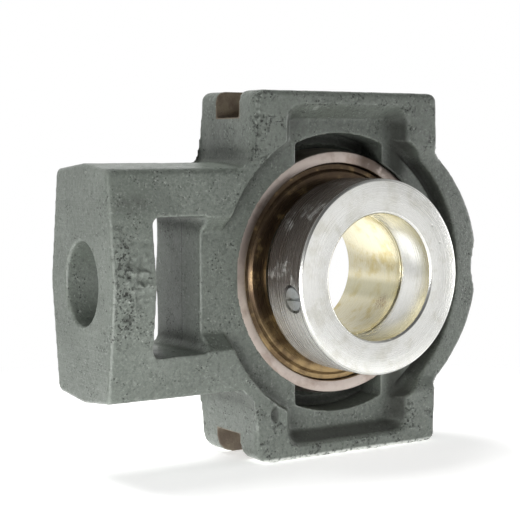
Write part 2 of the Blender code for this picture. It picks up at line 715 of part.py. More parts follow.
def make_hexagonal(bm, along_from, along_to, across):
    """Pull the outer points between two stations along X in to a hexagon's sides."""
    corner = across / math.sqrt(3)
    for vert in bm.verts:
        radius = math.hypot(vert.co.y, vert.co.z)
        if along_from - GAP / 9 < vert.co.x < along_to + GAP / 9 and radius > corner - GAP / 9:
            off_flat = (math.atan2(vert.co.z, vert.co.y) + math.tau) % (math.pi / 3) - math.pi / 6
            shrink = across / 2 / math.cos(off_flat) / radius
            vert.co.y *= shrink
            vert.co.z *= shrink


def make_nipple(parent, look, ball_look):
    seat, hex_top, neck_top, top, end = nipple_places()
    bore, mouth = NIPPLE_BORE_RADIUS, NIPPLE_MOUTH_RADIUS
    hex_corner = NIPPLE_HEX_ACROSS / math.sqrt(3)
    bulge = neck_top + NIPPLE_HEAD_RISE
    profile = [
        (mouth, end), (NIPPLE_THREAD_RADIUS, end), (NIPPLE_THREAD_RADIUS, seat), (hex_corner, seat),
        (hex_corner, hex_top), (NIPPLE_NECK_RADIUS, hex_top), (NIPPLE_NECK_RADIUS, neck_top),
        (NIPPLE_HEAD_RADIUS, bulge), (NIPPLE_HEAD_RADIUS, bulge + NIPPLE_HEAD_BAND),
        (NIPPLE_NECK_RADIUS, top), (mouth, top), (mouth, top - NIPPLE_MOUTH_LENGTH),
        (bore, top - NIPPLE_MOUTH_LENGTH - (bore - mouth)), (bore, end + NIPPLE_MOUTH_LENGTH),
        (mouth, end + NIPPLE_MOUTH_LENGTH),
    ]
    bm = turned(profile, NIPPLE_STEPS, axis="X")
    make_hexagonal(bm, seat, hex_top, NIPPLE_HEX_ACROSS)
    place("grease_nipple", bm, look, parent)
    centre = top - NIPPLE_MOUTH_LENGTH + mouth - math.sqrt(2) * (CHECK_BALL_RADIUS + GAP)
    place("nipple_check_ball", ball(CHECK_BALL_RADIUS, (centre, 0, 0)), ball_look, parent)
    make_nipple_spring(parent, end + NIPPLE_MOUTH_LENGTH + GAP, centre - CHECK_BALL_RADIUS - GAP)


def make_nipple_spring(parent, start, end):
    """A fine coil from the crimped end of the nipple up to its check ball."""
    curve = bpy.data.curves.new("nipple_spring", "CURVE")
    curve.dimensions = "3D"
    curve.bevel_depth = SPRING_WIRE_RADIUS
    curve.bevel_resolution = 0
    curve.use_fill_caps = True
    count = SPRING_TURNS * COIL_STEPS + 1
    coil = NIPPLE_BORE_RADIUS - GAP - SPRING_WIRE_RADIUS
    first, last = start + SPRING_WIRE_RADIUS, end - SPRING_WIRE_RADIUS
    spline = curve.splines.new("POLY")
    spline.points.add(count - 1)
    for i, point in enumerate(spline.points):
        a = math.tau * i / COIL_STEPS
        along = first + (last - first) * i / (count - 1)
        point.co = (along, coil * math.cos(a), coil * math.sin(a), 1)
    made = bpy.data.objects.new("nipple_spring", curve)
    made.parent = parent
    bpy.context.collection.objects.link(made)


def build():
    for old in list(bpy.data.objects):
        bpy.data.objects.remove(old, do_unlink=True)
    cast = material("enamelled_cast_iron", (0.17, 0.19, 0.175), 0.55, 0.0)
    steel = material("ground_bearing_steel", (0.62, 0.58, 0.56), 0.25, 1.0)
    bright = material("turned_steel", (0.72, 0.73, 0.71), 0.3, 1.0)
    washer = material("passivated_washer", (0.36, 0.25, 0.15), 0.3, 1.0)
    rubber = material("nitrile_rubber", (0.02, 0.02, 0.02), 0.8, 0.0)
    nylon = material("cage_nylon", (0.35, 0.32, 0.25), 0.5, 0.0)
    plated = material("zinc_plated_steel", (0.55, 0.56, 0.53), 0.35, 1.0)

    shaft = empty("shaft_axis", (0, 0, SHAFT_HEIGHT))
    make_housing(shaft, cast)
    place("outer_ring", turned(outer_ring_profile(), RING_STEPS), steel, shaft)
    make_inner_ring(shaft, steel)
    make_cage(shaft, nylon)
    for i in range(BALL_COUNT):
        centre = empty(f"ball_{i + 1}_axis", radial(90 + 360 * i / BALL_COUNT, PITCH_RADIUS, 0), shaft)
        place(f"ball_{i + 1}", ball(BALL_RADIUS, (0, 0, 0)), steel, centre)
    for side, end in ((-1, "front"), (1, "back")):
        make_seal(side, end, shaft, washer, rubber)
    make_collar(shaft, bright)
    make_set_screw(shaft, plated)
    make_nipple(shaft, bright, steel)


build()
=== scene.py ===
# %% [markdown]
# # A take-up bearing unit, dressed for the camera
# A take-up unit is a cast-iron housing that slides on two rails while a screw pulls it, to tighten a belt.
# In its middle sits a ball bearing insert with a locking collar. The solids of every piece are loaded
# as a fixed frame. This lesson gives each surface its finish: sand-cast enamel, ground and turned steel,
# chromated washers, rubber and nylon. Pieces whose facets would show are modelled again, finer, in place.

# %% Load the frame
import math

import bpy
from mathutils import Matrix, Vector


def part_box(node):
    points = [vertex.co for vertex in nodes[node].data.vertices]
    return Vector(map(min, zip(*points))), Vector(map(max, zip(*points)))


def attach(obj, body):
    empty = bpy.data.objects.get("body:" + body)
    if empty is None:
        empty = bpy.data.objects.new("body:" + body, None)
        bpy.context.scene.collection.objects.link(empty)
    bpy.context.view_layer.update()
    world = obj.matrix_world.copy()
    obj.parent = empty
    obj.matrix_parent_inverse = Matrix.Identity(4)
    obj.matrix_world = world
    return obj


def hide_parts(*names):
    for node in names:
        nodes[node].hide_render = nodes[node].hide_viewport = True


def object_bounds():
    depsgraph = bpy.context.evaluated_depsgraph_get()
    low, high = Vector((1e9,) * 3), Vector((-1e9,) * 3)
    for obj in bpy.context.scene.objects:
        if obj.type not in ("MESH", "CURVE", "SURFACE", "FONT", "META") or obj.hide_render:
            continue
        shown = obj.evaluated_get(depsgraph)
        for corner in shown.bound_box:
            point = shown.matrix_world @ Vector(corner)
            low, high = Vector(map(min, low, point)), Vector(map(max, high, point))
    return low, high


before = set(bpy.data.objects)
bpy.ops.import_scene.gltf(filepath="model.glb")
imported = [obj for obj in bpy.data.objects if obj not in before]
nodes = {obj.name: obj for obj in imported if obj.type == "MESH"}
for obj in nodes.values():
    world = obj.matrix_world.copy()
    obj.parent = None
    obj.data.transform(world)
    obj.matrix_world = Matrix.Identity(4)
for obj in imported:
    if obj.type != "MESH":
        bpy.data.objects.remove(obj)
cad_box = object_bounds()

MM = 0.001
ring_low, ring_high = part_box("outer_ring")
SHAFT = (ring_low + ring_high) / 2
print("frame:", len(nodes), "solids, shaft axis at", [round(v / MM, 2) for v in SHAFT], "mm")


# %% [markdown]
# ## Two small helpers for materials
# A web colour such as #8c938b is written in sRGB, but a shader adds light in linear values, so one function
# turns the first into the second. The other function adds a node, and sets its properties and its sockets,
# either to a value or to a link. With it a material reads from top to bottom, like a recipe.

# %% Colours and nodes
def srgb(code):
    """A colour written as sRGB hex, as the linear RGBA that a shader works in."""
    channels = [int(code[i:i + 2], 16) / 255 for i in (1, 3, 5)]
    linear = [c / 12.92 if c <= 0.04045 else ((c + 0.055) / 1.055) ** 2.4 for c in channels]
    return (*linear, 1.0)


def add_node(tree, kind, sockets=None, **properties):
    """Adds a node, sets its properties, and gives each named socket a value or a link."""
    made = tree.nodes.new(kind)
    for name, value in properties.items():
        setattr(made, name, value)
    for name, value in (sockets or {}).items():
        if isinstance(value, bpy.types.NodeSocket):
            tree.links.new(value, made.inputs[name])
        else:
            made.inputs[name].default_value = value
    return made


def new_material(name):
    """An empty material with one Principled shader, which is already wired to the output."""
    material = bpy.data.materials.new(name)
    material.use_nodes = True
    tree = material.node_tree
    return material, tree, tree.nodes["Principled BSDF"]


print("#8c938b in linear light:", [round(c, 3) for c in srgb("#8c938b")[:3]])


# %% [markdown]
# ## The camera
# The photograph was taken from the left and a little above, with a long lens. A long lens far away keeps
# parallel edges nearly parallel, so the lens, distance and angles belong together. The camera's axes are
# worked out from the three angles, and the eye from the point that it looks at.

# %% Camera
AZIMUTH = math.radians(-33.206)
ELEVATION = math.radians(4.3115)
ROLL = math.radians(-0.13)
LENS = 99.224
SENSOR = 36.0
EYE_DISTANCE = 423.759 * MM
AIM = SHAFT + Vector((-14.711, 9.904, 3.052)) * MM

back = Vector((math.sin(AZIMUTH) * math.cos(ELEVATION), -math.cos(AZIMUTH) * math.cos(ELEVATION),
               math.sin(ELEVATION)))
right = Vector((math.cos(AZIMUTH), math.sin(AZIMUTH), 0))
up = back.cross(right)
rolled_right = math.cos(ROLL) * right + math.sin(ROLL) * up
rolled_up = math.cos(ROLL) * up - math.sin(ROLL) * right

bpy.ops.object.camera_add(location=AIM + back * EYE_DISTANCE)
camera = bpy.context.object
camera.name = "camera"
camera.data.lens = LENS
camera.data.sensor_width = SENSOR
axes = Matrix((rolled_right, rolled_up, back)).transposed().to_4x4()
camera.matrix_world = Matrix.Translation(AIM + back * EYE_DISTANCE) @ axes
bpy.context.scene.camera = camera
bpy.context.scene.view_settings.view_transform = "Standard"
print("camera:", [round(v / MM) for v in camera.location], "mm, lens", LENS, "mm")


# %% [markdown]
# ## Soft light on a white ground
# Bright steel shows what surrounds it more than it shows its own colour. In the photograph the backdrop and
# the table are brilliant white and the side where the photographer stands is dim: faces that look into
# the lens are the darkest, and the undersides glow. So the world is white to the camera, but as a light
# and in reflections each way has its own level, and they blend between. Light Path tells the rays apart.

# %% World
# Each way: its direction, its strength as a light, and its strength where steel or enamel mirrors it.
SKY = {
    "left": (-right, 0.15, 1.0),
    "right": (right, 0.6, 0.6),
    "above": (up, 0.04, 0.08),
    "below": (-up, 0.46, 0.84),
    "beyond": (-back, 0.2, 1.0),
    "lens": (back, 0.10, 0.12),
}


def seen_directly(tree):
    """Two masks: rays from the camera or sent on by a mirror or glass, and rays from the camera alone."""
    rays = add_node(tree, "ShaderNodeLightPath")
    mirrored = add_node(tree, "ShaderNodeMath", {0: rays.outputs["Is Glossy Ray"],
                                                 1: rays.outputs["Is Transmission Ray"]}, operation="MAXIMUM")
    seen = add_node(tree, "ShaderNodeMath", {0: mirrored.outputs[0], 1: rays.outputs["Is Camera Ray"]},
                    operation="MAXIMUM").outputs[0]
    return seen, rays.outputs["Is Camera Ray"]


world = bpy.data.worlds.new("white_studio")
world.use_nodes = True
bpy.context.scene.world = world
tree = world.node_tree
seen, by_camera = seen_directly(tree)
direction = add_node(tree, "ShaderNodeTexCoord").outputs["Generated"]
level = by_camera
for name, (towards, as_light, in_steel) in SKY.items():
    facing = add_node(tree, "ShaderNodeVectorMath", {0: direction, 1: towards}, operation="DOT_PRODUCT")
    lobe = add_node(tree, "ShaderNodeMath", {0: facing.outputs["Value"], 1: 0.0}, operation="MAXIMUM")
    lobe = add_node(tree, "ShaderNodeMath", {0: lobe.outputs[0], 1: 2.0}, operation="POWER")
    strength = add_node(tree, "ShaderNodeMapRange", {"Value": seen, "To Min": as_light, "To Max": in_steel},
                        name=name)
    level = add_node(tree, "ShaderNodeMath", {0: lobe.outputs[0], 1: strength.outputs[0], 2: level},
                     operation="MULTIPLY_ADD").outputs[0]
level = add_node(tree, "ShaderNodeMath", {0: level, 1: 1.0}, operation="MINIMUM").outputs[0]
background = tree.nodes["Background"]
background.inputs["Color"].default_value = srgb("#ffffff")
tree.links.new(level, background.inputs["Strength"])
print("world:", ", ".join(f"{name} {light}" for name, (_, light, _) in SKY.items()))


# %% [markdown]
# ## Four lamps
# A wide soft box hangs above and a little behind, so it whitens the tops and the table but passes over the
# recesses in front. Steel doesn't mirror it, because the photographed barrel has no highlight from above.
# Smaller ones stand low on the left, near the lug, in front on the right, where the collar's face
# mirrors it, and beside the rounded nose.

# %% Lamps
# Each box: its place in mm, its power in watts and its side in mm.
SOFT_BOXES = {
    "overhead_box": ((-40, 240, 520), 4.6, 400),
    "low_left_box": ((-190, -115, 0), 0.40, 110),
    "front_right_box": ((95, -355, 35), 0.075, 250),
    "right_box": ((270, -80, 20), 0.34, 160),
}
for name, (place, watts, side) in SOFT_BOXES.items():
    bpy.ops.object.light_add(type="AREA", location=Vector(place) * MM)
    lamp = bpy.context.object
    lamp.name = name
    lamp.data.energy = watts
    lamp.data.size = side * MM
    lamp.rotation_euler = (SHAFT - lamp.location).to_track_quat("-Z", "Y").to_euler()
bpy.data.objects["overhead_box"].visible_glossy = False
print("lamps:", sorted(SOFT_BOXES))


# %% [markdown]
# ## The floor
# The unit stands on the underside of its lower ear. A wide pale sheet under it catches a soft shadow. It is
# nearly white by its own colour. To the eye it turns wholly white further off, where it meets the world. As
# a light it glows near the unit like a lit table, which is why the lower half of the casting is brighter.
# Steel mirrors the far table a little below white, or the collar's face would lose its grain.

# %% Floor
FLOOR_SIDE = 6.0
FLOOR_COLOUR = "#f2f2f1"
FLOOR_GLOW = 0.55
SHADOW_REACH = (70 * MM, 220 * MM)
TABLE_LIGHT = 1.0
TABLE_IN_STEEL = 0.72
TABLE_REACH = (70 * MM, 230 * MM)
TABLE_CENTRE = (-40 * MM, -30 * MM, cad_box[0][2])

bpy.ops.mesh.primitive_plane_add(size=FLOOR_SIDE, location=(0, 0, cad_box[0][2]))
floor = bpy.context.object
floor.name = "floor"
bpy.ops.object.transform_apply(location=True, rotation=True, scale=True)
paper, tree, shader = new_material("matt_studio_paper")
shader.inputs["Base Color"].default_value = srgb(FLOOR_COLOUR)
shader.inputs["Roughness"].default_value = 0.9
shader.inputs["Specular IOR Level"].default_value = 0.1
shader.inputs["Emission Color"].default_value = srgb("#ffffff")
seen, by_camera = seen_directly(tree)
spot = add_node(tree, "ShaderNodeTexCoord").outputs["Object"]
away = add_node(tree, "ShaderNodeVectorMath", {0: spot, 1: TABLE_CENTRE},
                operation="DISTANCE").outputs["Value"]
table = add_node(tree, "ShaderNodeMapRange", {
    "Value": away, "From Min": TABLE_REACH[0], "From Max": TABLE_REACH[1],
    "To Min": TABLE_LIGHT, "To Max": 0.0}, interpolation_type="SMOOTHSTEP").outputs[0]
glow = add_node(tree, "ShaderNodeMapRange", {"Value": seen, "To Min": table, "To Max": FLOOR_GLOW}).outputs[0]
tree.links.new(glow, shader.inputs["Emission Strength"])
far = add_node(tree, "ShaderNodeMapRange", {
    "Value": away, "From Min": SHADOW_REACH[0], "From Max": SHADOW_REACH[1]},
    interpolation_type="SMOOTHSTEP").outputs[0]
far = add_node(tree, "ShaderNodeMath", {0: seen, 1: far}, operation="MULTIPLY").outputs[0]
brilliance = add_node(tree, "ShaderNodeMapRange", {"Value": by_camera, "To Min": TABLE_IN_STEEL}).outputs[0]
white = add_node(tree, "ShaderNodeEmission", {"Color": srgb("#ffffff"), "Strength": brilliance}).outputs[0]
surface = add_node(tree, "ShaderNodeMixShader", {0: far, 1: shader.outputs[0], 2: white}).outputs[0]
tree.links.new(surface, tree.nodes["Material Output"].inputs["Surface"])
floor.data.materials.append(paper)
print("floor at", round(cad_box[0][2] / MM, 2), "mm")


# %% [markdown]
# ## Masks
# A mask is a number from 0 to 1 that says how much of a film, a stain or a scratch lies at a point. The masks
# here come from a noise that is cut at a level, or from a place, as a distance along an axis. Where masks
# are multiplied, a film lies only where all of them hold. Colours are then laid over each other by their
# masks, in the order in which paint, grime and wear came onto the real thing.

# %% Masks
def about_shaft(tree):
    """A point's place about the middle of the shaft, as one vector and as three numbers."""
    spot = add_node(tree, "ShaderNodeTexCoord").outputs["Object"]
    centred = add_node(tree, "ShaderNodeMapping", {"Vector": spot, "Location": -SHAFT}).outputs[0]
    return centred, add_node(tree, "ShaderNodeSeparateXYZ", {0: centred}).outputs


def masked(tree, number, low, high):
    """Turns a number into a soft mask that goes from 0 at low to 1 at high."""
    return add_node(tree, "ShaderNodeMapRange", {"Value": number, "From Min": low, "From Max": high},
                    interpolation_type="SMOOTHSTEP").outputs[0]


def overlap(tree, first, *others):
    """Where all of several masks hold: their product. A plain number among them thins the film."""
    for other in others:
        first = add_node(tree, "ShaderNodeMath", {0: first, 1: other}, operation="MULTIPLY").outputs[0]
    return first


def either(tree, first, *others):
    """Where at least one of several masks holds: the largest of them."""
    for other in others:
        first = add_node(tree, "ShaderNodeMath", {0: first, 1: other}, operation="MAXIMUM").outputs[0]
    return first


def zone(tree, ways, limits):
    """A soft mask over a box. Each way has its low end, its high end and its softness, in mm."""
    edges = []
    for way, (low, high, soft) in limits.items():
        if low is not None:
            edges.append(masked(tree, ways[way], (low - soft) * MM, (low + soft) * MM))
        if high is not None:
            edges.append(masked(tree, ways[way], (high + soft) * MM, (high - soft) * MM))
    return overlap(tree, *edges)


def coated(tree, colour, films):
    """Lays films over a colour, one over the other. Each has its mask, its strength and its colour."""
    for mask, strength, film in films:
        share = overlap(tree, mask, strength)
        colour = add_node(tree, "ShaderNodeMix", {0: share, 6: colour, 7: film}, data_type="RGBA").outputs[2]
    return colour


print("masks: by level, by zone, all of several, either of several")


# %% [markdown]
# ## Enamel on sand-cast iron
# The housing was cast in sand, shot-blasted and dipped in a grey-green machine enamel. To the eye that is a
# soft satin skin over a grainy surface: pits where a grain broke away, pale specks where one stands out, and
# slow waves. Painted shade darkens it in pockets, corners and dents, at the top of the lug's front and in
# the hollows of rough places. The front rims are rough in blotches, the lug's front and one edge of the
# upper ear are rougher, a painted highlight runs in specks along the bottom edge, and a fine mould seam
# runs along the arms. The lug's end is milled before painting, so its marks show through the enamel. The
# guide grooves are milled after it and show bare iron that has browned.

# %% Colours, noises and places of the casting
ENAMEL = "#686e67"
ENAMEL_SHADE = "#60665f"
ENAMEL_DARK = "#494f48"
ENAMEL_LIGHT = "#868c85"
PIT = "#20211d"
SPECK = "#b4b8b1"
WORN_EDGE = "#a7aca5"
BOTTOM_HIGHLIGHT = "#dddfda"
PAINTED_SHADE = "#2a2a26"
BARE_IRON = "#736959"
BARE_IRON_DARK = "#5e5347"

# Each noise: the size of its lumps in mm, its detail and its roughness. Moulding sand has grains of 0.2 to
# 0.5 mm. They are drawn at 0.7 mm, because finer ones fall between the picture's pixels.
NOISES = {
    "patches": (17.0, 2.0, 0.5),
    "blotches": (5.0, 5.0, 0.6),
    "crust": (1.5, 6.0, 0.7),
    "grain": (0.7, 3.0, 0.6),
}
# Pits lie in cells of this size and reach over this share of them, and the grain's noise shakes them out of
# their round shape.
PIT_SPACING = 1.0 * MM
PIT_REACH = 0.27
PIT_SHAKE = 0.7 * MM
# Milling marks are drawn at 0.6 mm, about twice as coarse as real ones, so that they show.
MILL_PITCH = 0.6 * MM
# How near a wall must stand for painted shade to gather, and how high the relief of sand and pits is.
HOLLOW_REACH = 9 * MM
RELIEF = 0.26 * MM

GROOVE_HALF_WIDTH = 6.35 * MM
GROOVE_DEPTH_FROM = 44.2 * MM
LUG_END = -78.0 * MM

# Each zone: low end, high end and softness in mm about the shaft. Side and height are the distances from the
# middle planes, alike to both sides, and None leaves an end open.
ZONES = {
    "lug_face": {"X": (-77.0, -72.5, 1.0), "Y": (None, -17.25, 0.75), "Z": (-22.0, 27.0, 3.0)},
    "ear_edge": {"X": (-35.5, -31.5, 0.8), "Y": (None, -12.0, 1.5), "Z": (32.0, None, 2.0)},
    "front_rims": {"Y": (None, -14.35, 0.35), "height": (31.0, None, 3.0)},
    "lug_top_shade": {"X": (-76.5, -66.0, 1.5), "Y": (None, -16.0, 0.5), "Z": (20.0, 29.5, 2.5)},
    "pocket_corner": {"X": (17.0, 24.0, 2.5), "Y": (-14.0, -4.0, 0.7), "height": (27.0, 45.0, 3.0)},
    "pocket_sill": {"X": (-20.0, 20.0, 2.0), "Y": (-14.0, -4.0, 0.7), "Z": (-48.0, -44.6, 0.7)},
    "bottom_edge": {"Z": (None, -50.85, 0.45)},
    "mould_seam": {"X": (-50.0, -45.0, 0.5), "Y": (-0.15, 0.15, 0.1)},
    "guide_groove": {"side": (None, GROOVE_HALF_WIDTH / MM, 0.2),
                     "height": (GROOVE_DEPTH_FROM / MM, None, 0.2)},
    "milled_end": {"X": (None, LUG_END / MM + 0.2, 0.1)},
}

# Each dent: its centre about the shaft, its reach along X, Y and Z, and its depth, all in mm.
DENTS = {
    "oval_dent": ((-26.1, -15.0, -38.3), (1.5, 2.0, 2.7), 0.8),
    "pin_hole": ((-20.5, -15.0, -38.9), (0.8, 2.0, 0.8), 0.9),
    "lug_dent": ((-71.0, -19.0, 23.6), (1.7, 2.5, 2.3), 1.2),
}
print("zones:", ", ".join(ZONES))


# %% Noises, pits and painted shade
def cast_patterns(tree):
    """The ways along which a zone is measured, and the noises that sand and paint follow."""
    centred, axis = about_shaft(tree)
    ways = {"X": axis["X"], "Y": axis["Y"], "Z": axis["Z"]}
    for way, along in (("side", "Y"), ("height", "Z")):
        ways[way] = add_node(tree, "ShaderNodeMath", {0: axis[along]}, operation="ABSOLUTE").outputs[0]
    noises = {}
    for name, (size, detail, roughness) in NOISES.items():
        noises[name] = add_node(tree, "ShaderNodeTexNoise", {
            "Vector": centred, "Scale": 1 / (size * MM), "Detail": detail, "Roughness": roughness})
    return centred, ways, noises


def sand_pits(tree, centred, noises, rough):
    """Pits where grains broke away: the middles of cells, wider in blotches and on rough places."""
    shaken = add_node(tree, "ShaderNodeVectorMath", {
        0: noises["grain"].outputs["Color"], 1: (PIT_SHAKE,) * 3, 2: centred}, operation="MULTIPLY_ADD")
    cells = add_node(tree, "ShaderNodeTexVoronoi", {"Vector": shaken.outputs[0], "Scale": 1 / PIT_SPACING})
    crowd = add_node(tree, "ShaderNodeMapRange", {
        "Value": noises["blotches"].outputs["Fac"], "From Min": 0.38, "From Max": 0.62, "To Min": 0.0,
        "To Max": PIT_REACH})
    crowd = add_node(tree, "ShaderNodeMath", {0: rough, 1: 0.12, 2: crowd.outputs[0]},
                     operation="MULTIPLY_ADD")
    depth = add_node(tree, "ShaderNodeMath", {0: crowd.outputs[0], 1: cells.outputs["Distance"]},
                     operation="SUBTRACT")
    return masked(tree, depth.outputs[0], -0.03, 0.07)


def dent_shade(tree, centred):
    """Painted shade in the bottom of each dent."""
    soot = 0.0
    for centre, reach, _ in DENTS.values():
        off = add_node(tree, "ShaderNodeVectorMath", {0: centred, 1: [c * MM for c in centre]},
                       operation="SUBTRACT")
        off = add_node(tree, "ShaderNodeVectorMath", {0: off.outputs[0], 1: [0.8 / r / MM for r in reach]},
                       operation="MULTIPLY")
        off = add_node(tree, "ShaderNodeVectorMath", {0: off.outputs[0]}, operation="LENGTH")
        soot = either(tree, soot, masked(tree, off.outputs["Value"], 0.85, 0.55))
    return soot


print("noises:", ", ".join(NOISES))


# %% Housing material
def cast_enamel():
    """Grey-green enamel over sand-cast iron, with painted shade and highlight, worn edges and bare milled
    grooves.
    """
    material, tree, shader = new_material("grey_green_enamel_on_sand_cast_iron")
    centred, ways, noises = cast_patterns(tree)
    level = {name: noise.outputs["Fac"] for name, noise in noises.items()}
    place = {name: zone(tree, ways, limits) for name, limits in ZONES.items()}

    rough_rim_blotches = overlap(tree, place["front_rims"], masked(tree, level["blotches"], 0.46, 0.58), 0.7)
    rough = either(tree, place["lug_face"], place["ear_edge"], rough_rim_blotches)
    # Painted shade, in blotches, at the top of the lug's front face.
    stain = overlap(tree, place["lug_top_shade"], masked(tree, level["crust"], 0.42, 0.56))
    # Painted shade on the pocket's corner wall and on its sill.
    pocket_shade = either(tree, place["pocket_corner"], place["pocket_sill"])
    # A painted highlight, in specks, along the bottom edge.
    bottom_highlight = overlap(tree, place["bottom_edge"], masked(tree, level["crust"], 0.40, 0.52))
    pits = sand_pits(tree, centred, noises, rough)
    specks = overlap(tree, masked(tree, level["grain"], 0.63, 0.71),
                     masked(tree, level["blotches"], 0.44, 0.60))
    # Painted shade in the hollows of the rough relief.
    crusted = overlap(tree, masked(tree, level["crust"], 0.47, 0.38), rough)

    # Shade is painted where walls stand close, which ambient occlusion finds. Edges wear, which pointiness
    # finds.
    nearby = add_node(tree, "ShaderNodeAmbientOcclusion", {"Distance": HOLLOW_REACH}, only_local=True,
                      samples=8)
    hollow = masked(tree, nearby.outputs["AO"], 0.95, 0.50)
    worn = masked(tree, add_node(tree, "ShaderNodeNewGeometry").outputs["Pointiness"], 0.515, 0.56)

    # Light and dark grains stand closer together in some blotches than in others.
    gathered = add_node(tree, "ShaderNodeMapRange", {
        "Value": level["blotches"], "From Min": 0.40, "From Max": 0.60,
        "To Min": 0.12, "To Max": 0.55}).outputs[0]
    light_grains = overlap(tree, masked(tree, level["grain"], 0.50, 0.66), gathered)
    dark_grains = overlap(tree, masked(tree, level["grain"], 0.49, 0.34), gathered)
    browned = masked(tree, level["blotches"], 0.38, 0.62)
    bare_iron = coated(tree, srgb(BARE_IRON_DARK), [(browned, 1.0, srgb(BARE_IRON))])

    paint = coated(tree, srgb(ENAMEL_SHADE), [
        (masked(tree, level["patches"], 0.35, 0.65), 1.0, srgb(ENAMEL)),
        (light_grains, 1.0, srgb(ENAMEL_LIGHT)),
        (dark_grains, 1.0, srgb(ENAMEL_DARK)),
        (masked(tree, level["crust"], 0.50, 0.38), 0.5, srgb(ENAMEL_DARK)),
        (pits, 0.8, srgb(PIT)),
        (specks, 0.4, srgb(SPECK)),
        (crusted, 0.6, srgb(PAINTED_SHADE)),
        (stain, 0.6, srgb(PAINTED_SHADE)),
        (pocket_shade, 0.75, srgb(PAINTED_SHADE)),
        (dent_shade(tree, centred), 0.6, srgb(PAINTED_SHADE)),
        (place["mould_seam"], 0.8, srgb(PIT)),
        (worn, 0.35, srgb(WORN_EDGE)),
        (bottom_highlight, 0.75, srgb(BOTTOM_HIGHLIGHT)),
        (hollow, 0.93, srgb(PAINTED_SHADE)),
        (place["guide_groove"], 1.0, bare_iron),
    ])
    tree.links.new(paint, shader.inputs["Base Color"])

    # Clean enamel is satin. Rough places and bare iron are duller, and painted shade is dull all over.
    gloss = add_node(tree, "ShaderNodeMapRange", {
        "Value": level["blotches"], "From Min": 0.3, "From Max": 0.7,
        "To Min": 0.24, "To Max": 0.42}).outputs[0]
    dull = either(tree, place["guide_groove"], rough)
    shaded_spots = either(tree, pocket_shade, hollow)
    gloss = add_node(tree, "ShaderNodeMapRange", {"Value": dull, "To Min": gloss, "To Max": 0.6}).outputs[0]
    gloss = add_node(tree, "ShaderNodeMapRange", {"Value": shaded_spots, "To Min": gloss, "To Max": 0.9}).outputs[0]
    tree.links.new(gloss, shader.inputs["Roughness"])
    shader.inputs["IOR"].default_value = 1.5

    cuts = add_node(tree, "ShaderNodeTexNoise", {"W": ways["Z"], "Scale": 1 / MILL_PITCH, "Detail": 3.0,
                                                 "Roughness": 0.7}, noise_dimensions="1D")
    mill_marks = overlap(tree, cuts.outputs["Fac"], place["milled_end"])
    relief = 0.0
    for shape, height in ((level["grain"], 0.35), (mill_marks, 0.3), (pits, -0.8), (specks, 0.4),
                          (level["crust"], 0.6), (crusted, -1.0)):
        relief = add_node(tree, "ShaderNodeMath", {0: shape, 1: height, 2: relief},
                          operation="MULTIPLY_ADD").outputs[0]
    bump = add_node(tree, "ShaderNodeBump", {"Height": relief, "Strength": 1.0, "Distance": RELIEF})
    tree.links.new(bump.outputs[0], shader.inputs["Normal"])
    return material


enamel = cast_enamel()
print("material:", enamel.name)


# %% [markdown]
# ## The casting
# The solid's flat triangles are right in size but too few and too long to carry the texture of sand. So a
# copy is merged, rebuilt by a voxel remesh in even small squares, and smoothed, which turns each chamfer
# into the soft edge that a mould leaves. Two Displace modifiers then add waves. The flat milled faces keep
# out of it through a vertex group. A last Decimate spends the triangles where the form bends.

# %% Housing mesh
VOXEL = 0.5 * MM
CASTING_WAVE = 3.2 * MM
CASTING_WAVE_HEIGHT = 0.16 * MM
ROUGH_WAVE = 1.7 * MM
ROUGH_WAVE_HEIGHT = 2.2 * MM
RAGGED_WAVE = 1.0 * MM
RAGGED_WAVE_HEIGHT = 1.5 * MM
HOUSING_TRIANGLES = 190000


def deselect():
    """Clears the selection, because an operator acts on all that is selected."""
    if bpy.context.object and bpy.context.object.mode != "OBJECT":
        bpy.ops.object.mode_set(mode="OBJECT")
    bpy.ops.object.select_all(action="DESELECT")


def make_active(piece):
    """Selects one piece alone and makes it the active one."""
    deselect()
    piece.select_set(True)
    bpy.context.view_layer.objects.active = piece


def merged_copy(node, name):
    """A copy of a solid's mesh with its loose triangles joined at their corners."""
    piece = bpy.data.objects.new(name, nodes[node].data.copy())
    bpy.context.collection.objects.link(piece)
    piece.data.materials.clear()
    make_active(piece)
    bpy.ops.object.mode_set(mode="EDIT")
    bpy.ops.mesh.select_all(action="SELECT")
    bpy.ops.mesh.remove_doubles(threshold=0.001 * MM)
    bpy.ops.object.mode_set(mode="OBJECT")
    return piece


def modify(piece, kind, **settings):
    """Adds a modifier, sets it and applies it."""
    make_active(piece)
    bpy.ops.object.modifier_add(type=kind)
    modifier = piece.modifiers[-1]
    for name, value in settings.items():
        setattr(modifier, name, value)
    bpy.ops.object.modifier_apply(modifier=modifier.name)


def triangles(piece):
    """How many triangles a piece's faces split into."""
    return sum(len(face.vertices) - 2 for face in piece.data.polygons)


def weigh(piece, group, rule):
    """Puts each vertex in a group with the weight that a rule gives its place about the shaft."""
    made = piece.vertex_groups.new(name=group)
    for vertex in piece.data.vertices:
        weight = rule(vertex.co - SHAFT)
        if weight > 0:
            made.add((vertex.index,), weight, "REPLACE")


casting = merged_copy("housing", "housing_casting")
print("merged solid:", triangles(casting), "triangles")
modify(casting, "REMESH", mode="VOXEL", voxel_size=VOXEL, use_smooth_shade=True)
print("voxel remesh:", triangles(casting), "triangles")


# %% Smooth, wave and roughen the casting
LUG_FRONT = -19.0 * MM
SEAT_REACH = 40.5 * MM
SEAT_HALF_WIDTH = 9.7 * MM
RAGGED_EDGE = Vector((-31.6, -15.0)) * MM
RAGGED_REACH = 2.4 * MM
ROUGH_FACE_X = (-76.0 * MM, -66.5 * MM)
ROUGH_FACE_HALF_HEIGHT = 23.0 * MM


def ramp(value, start, end):
    """0 before start, 1 past end, and a straight line between."""
    return min(1.0, max(0.0, (value - start) / (end - start)))


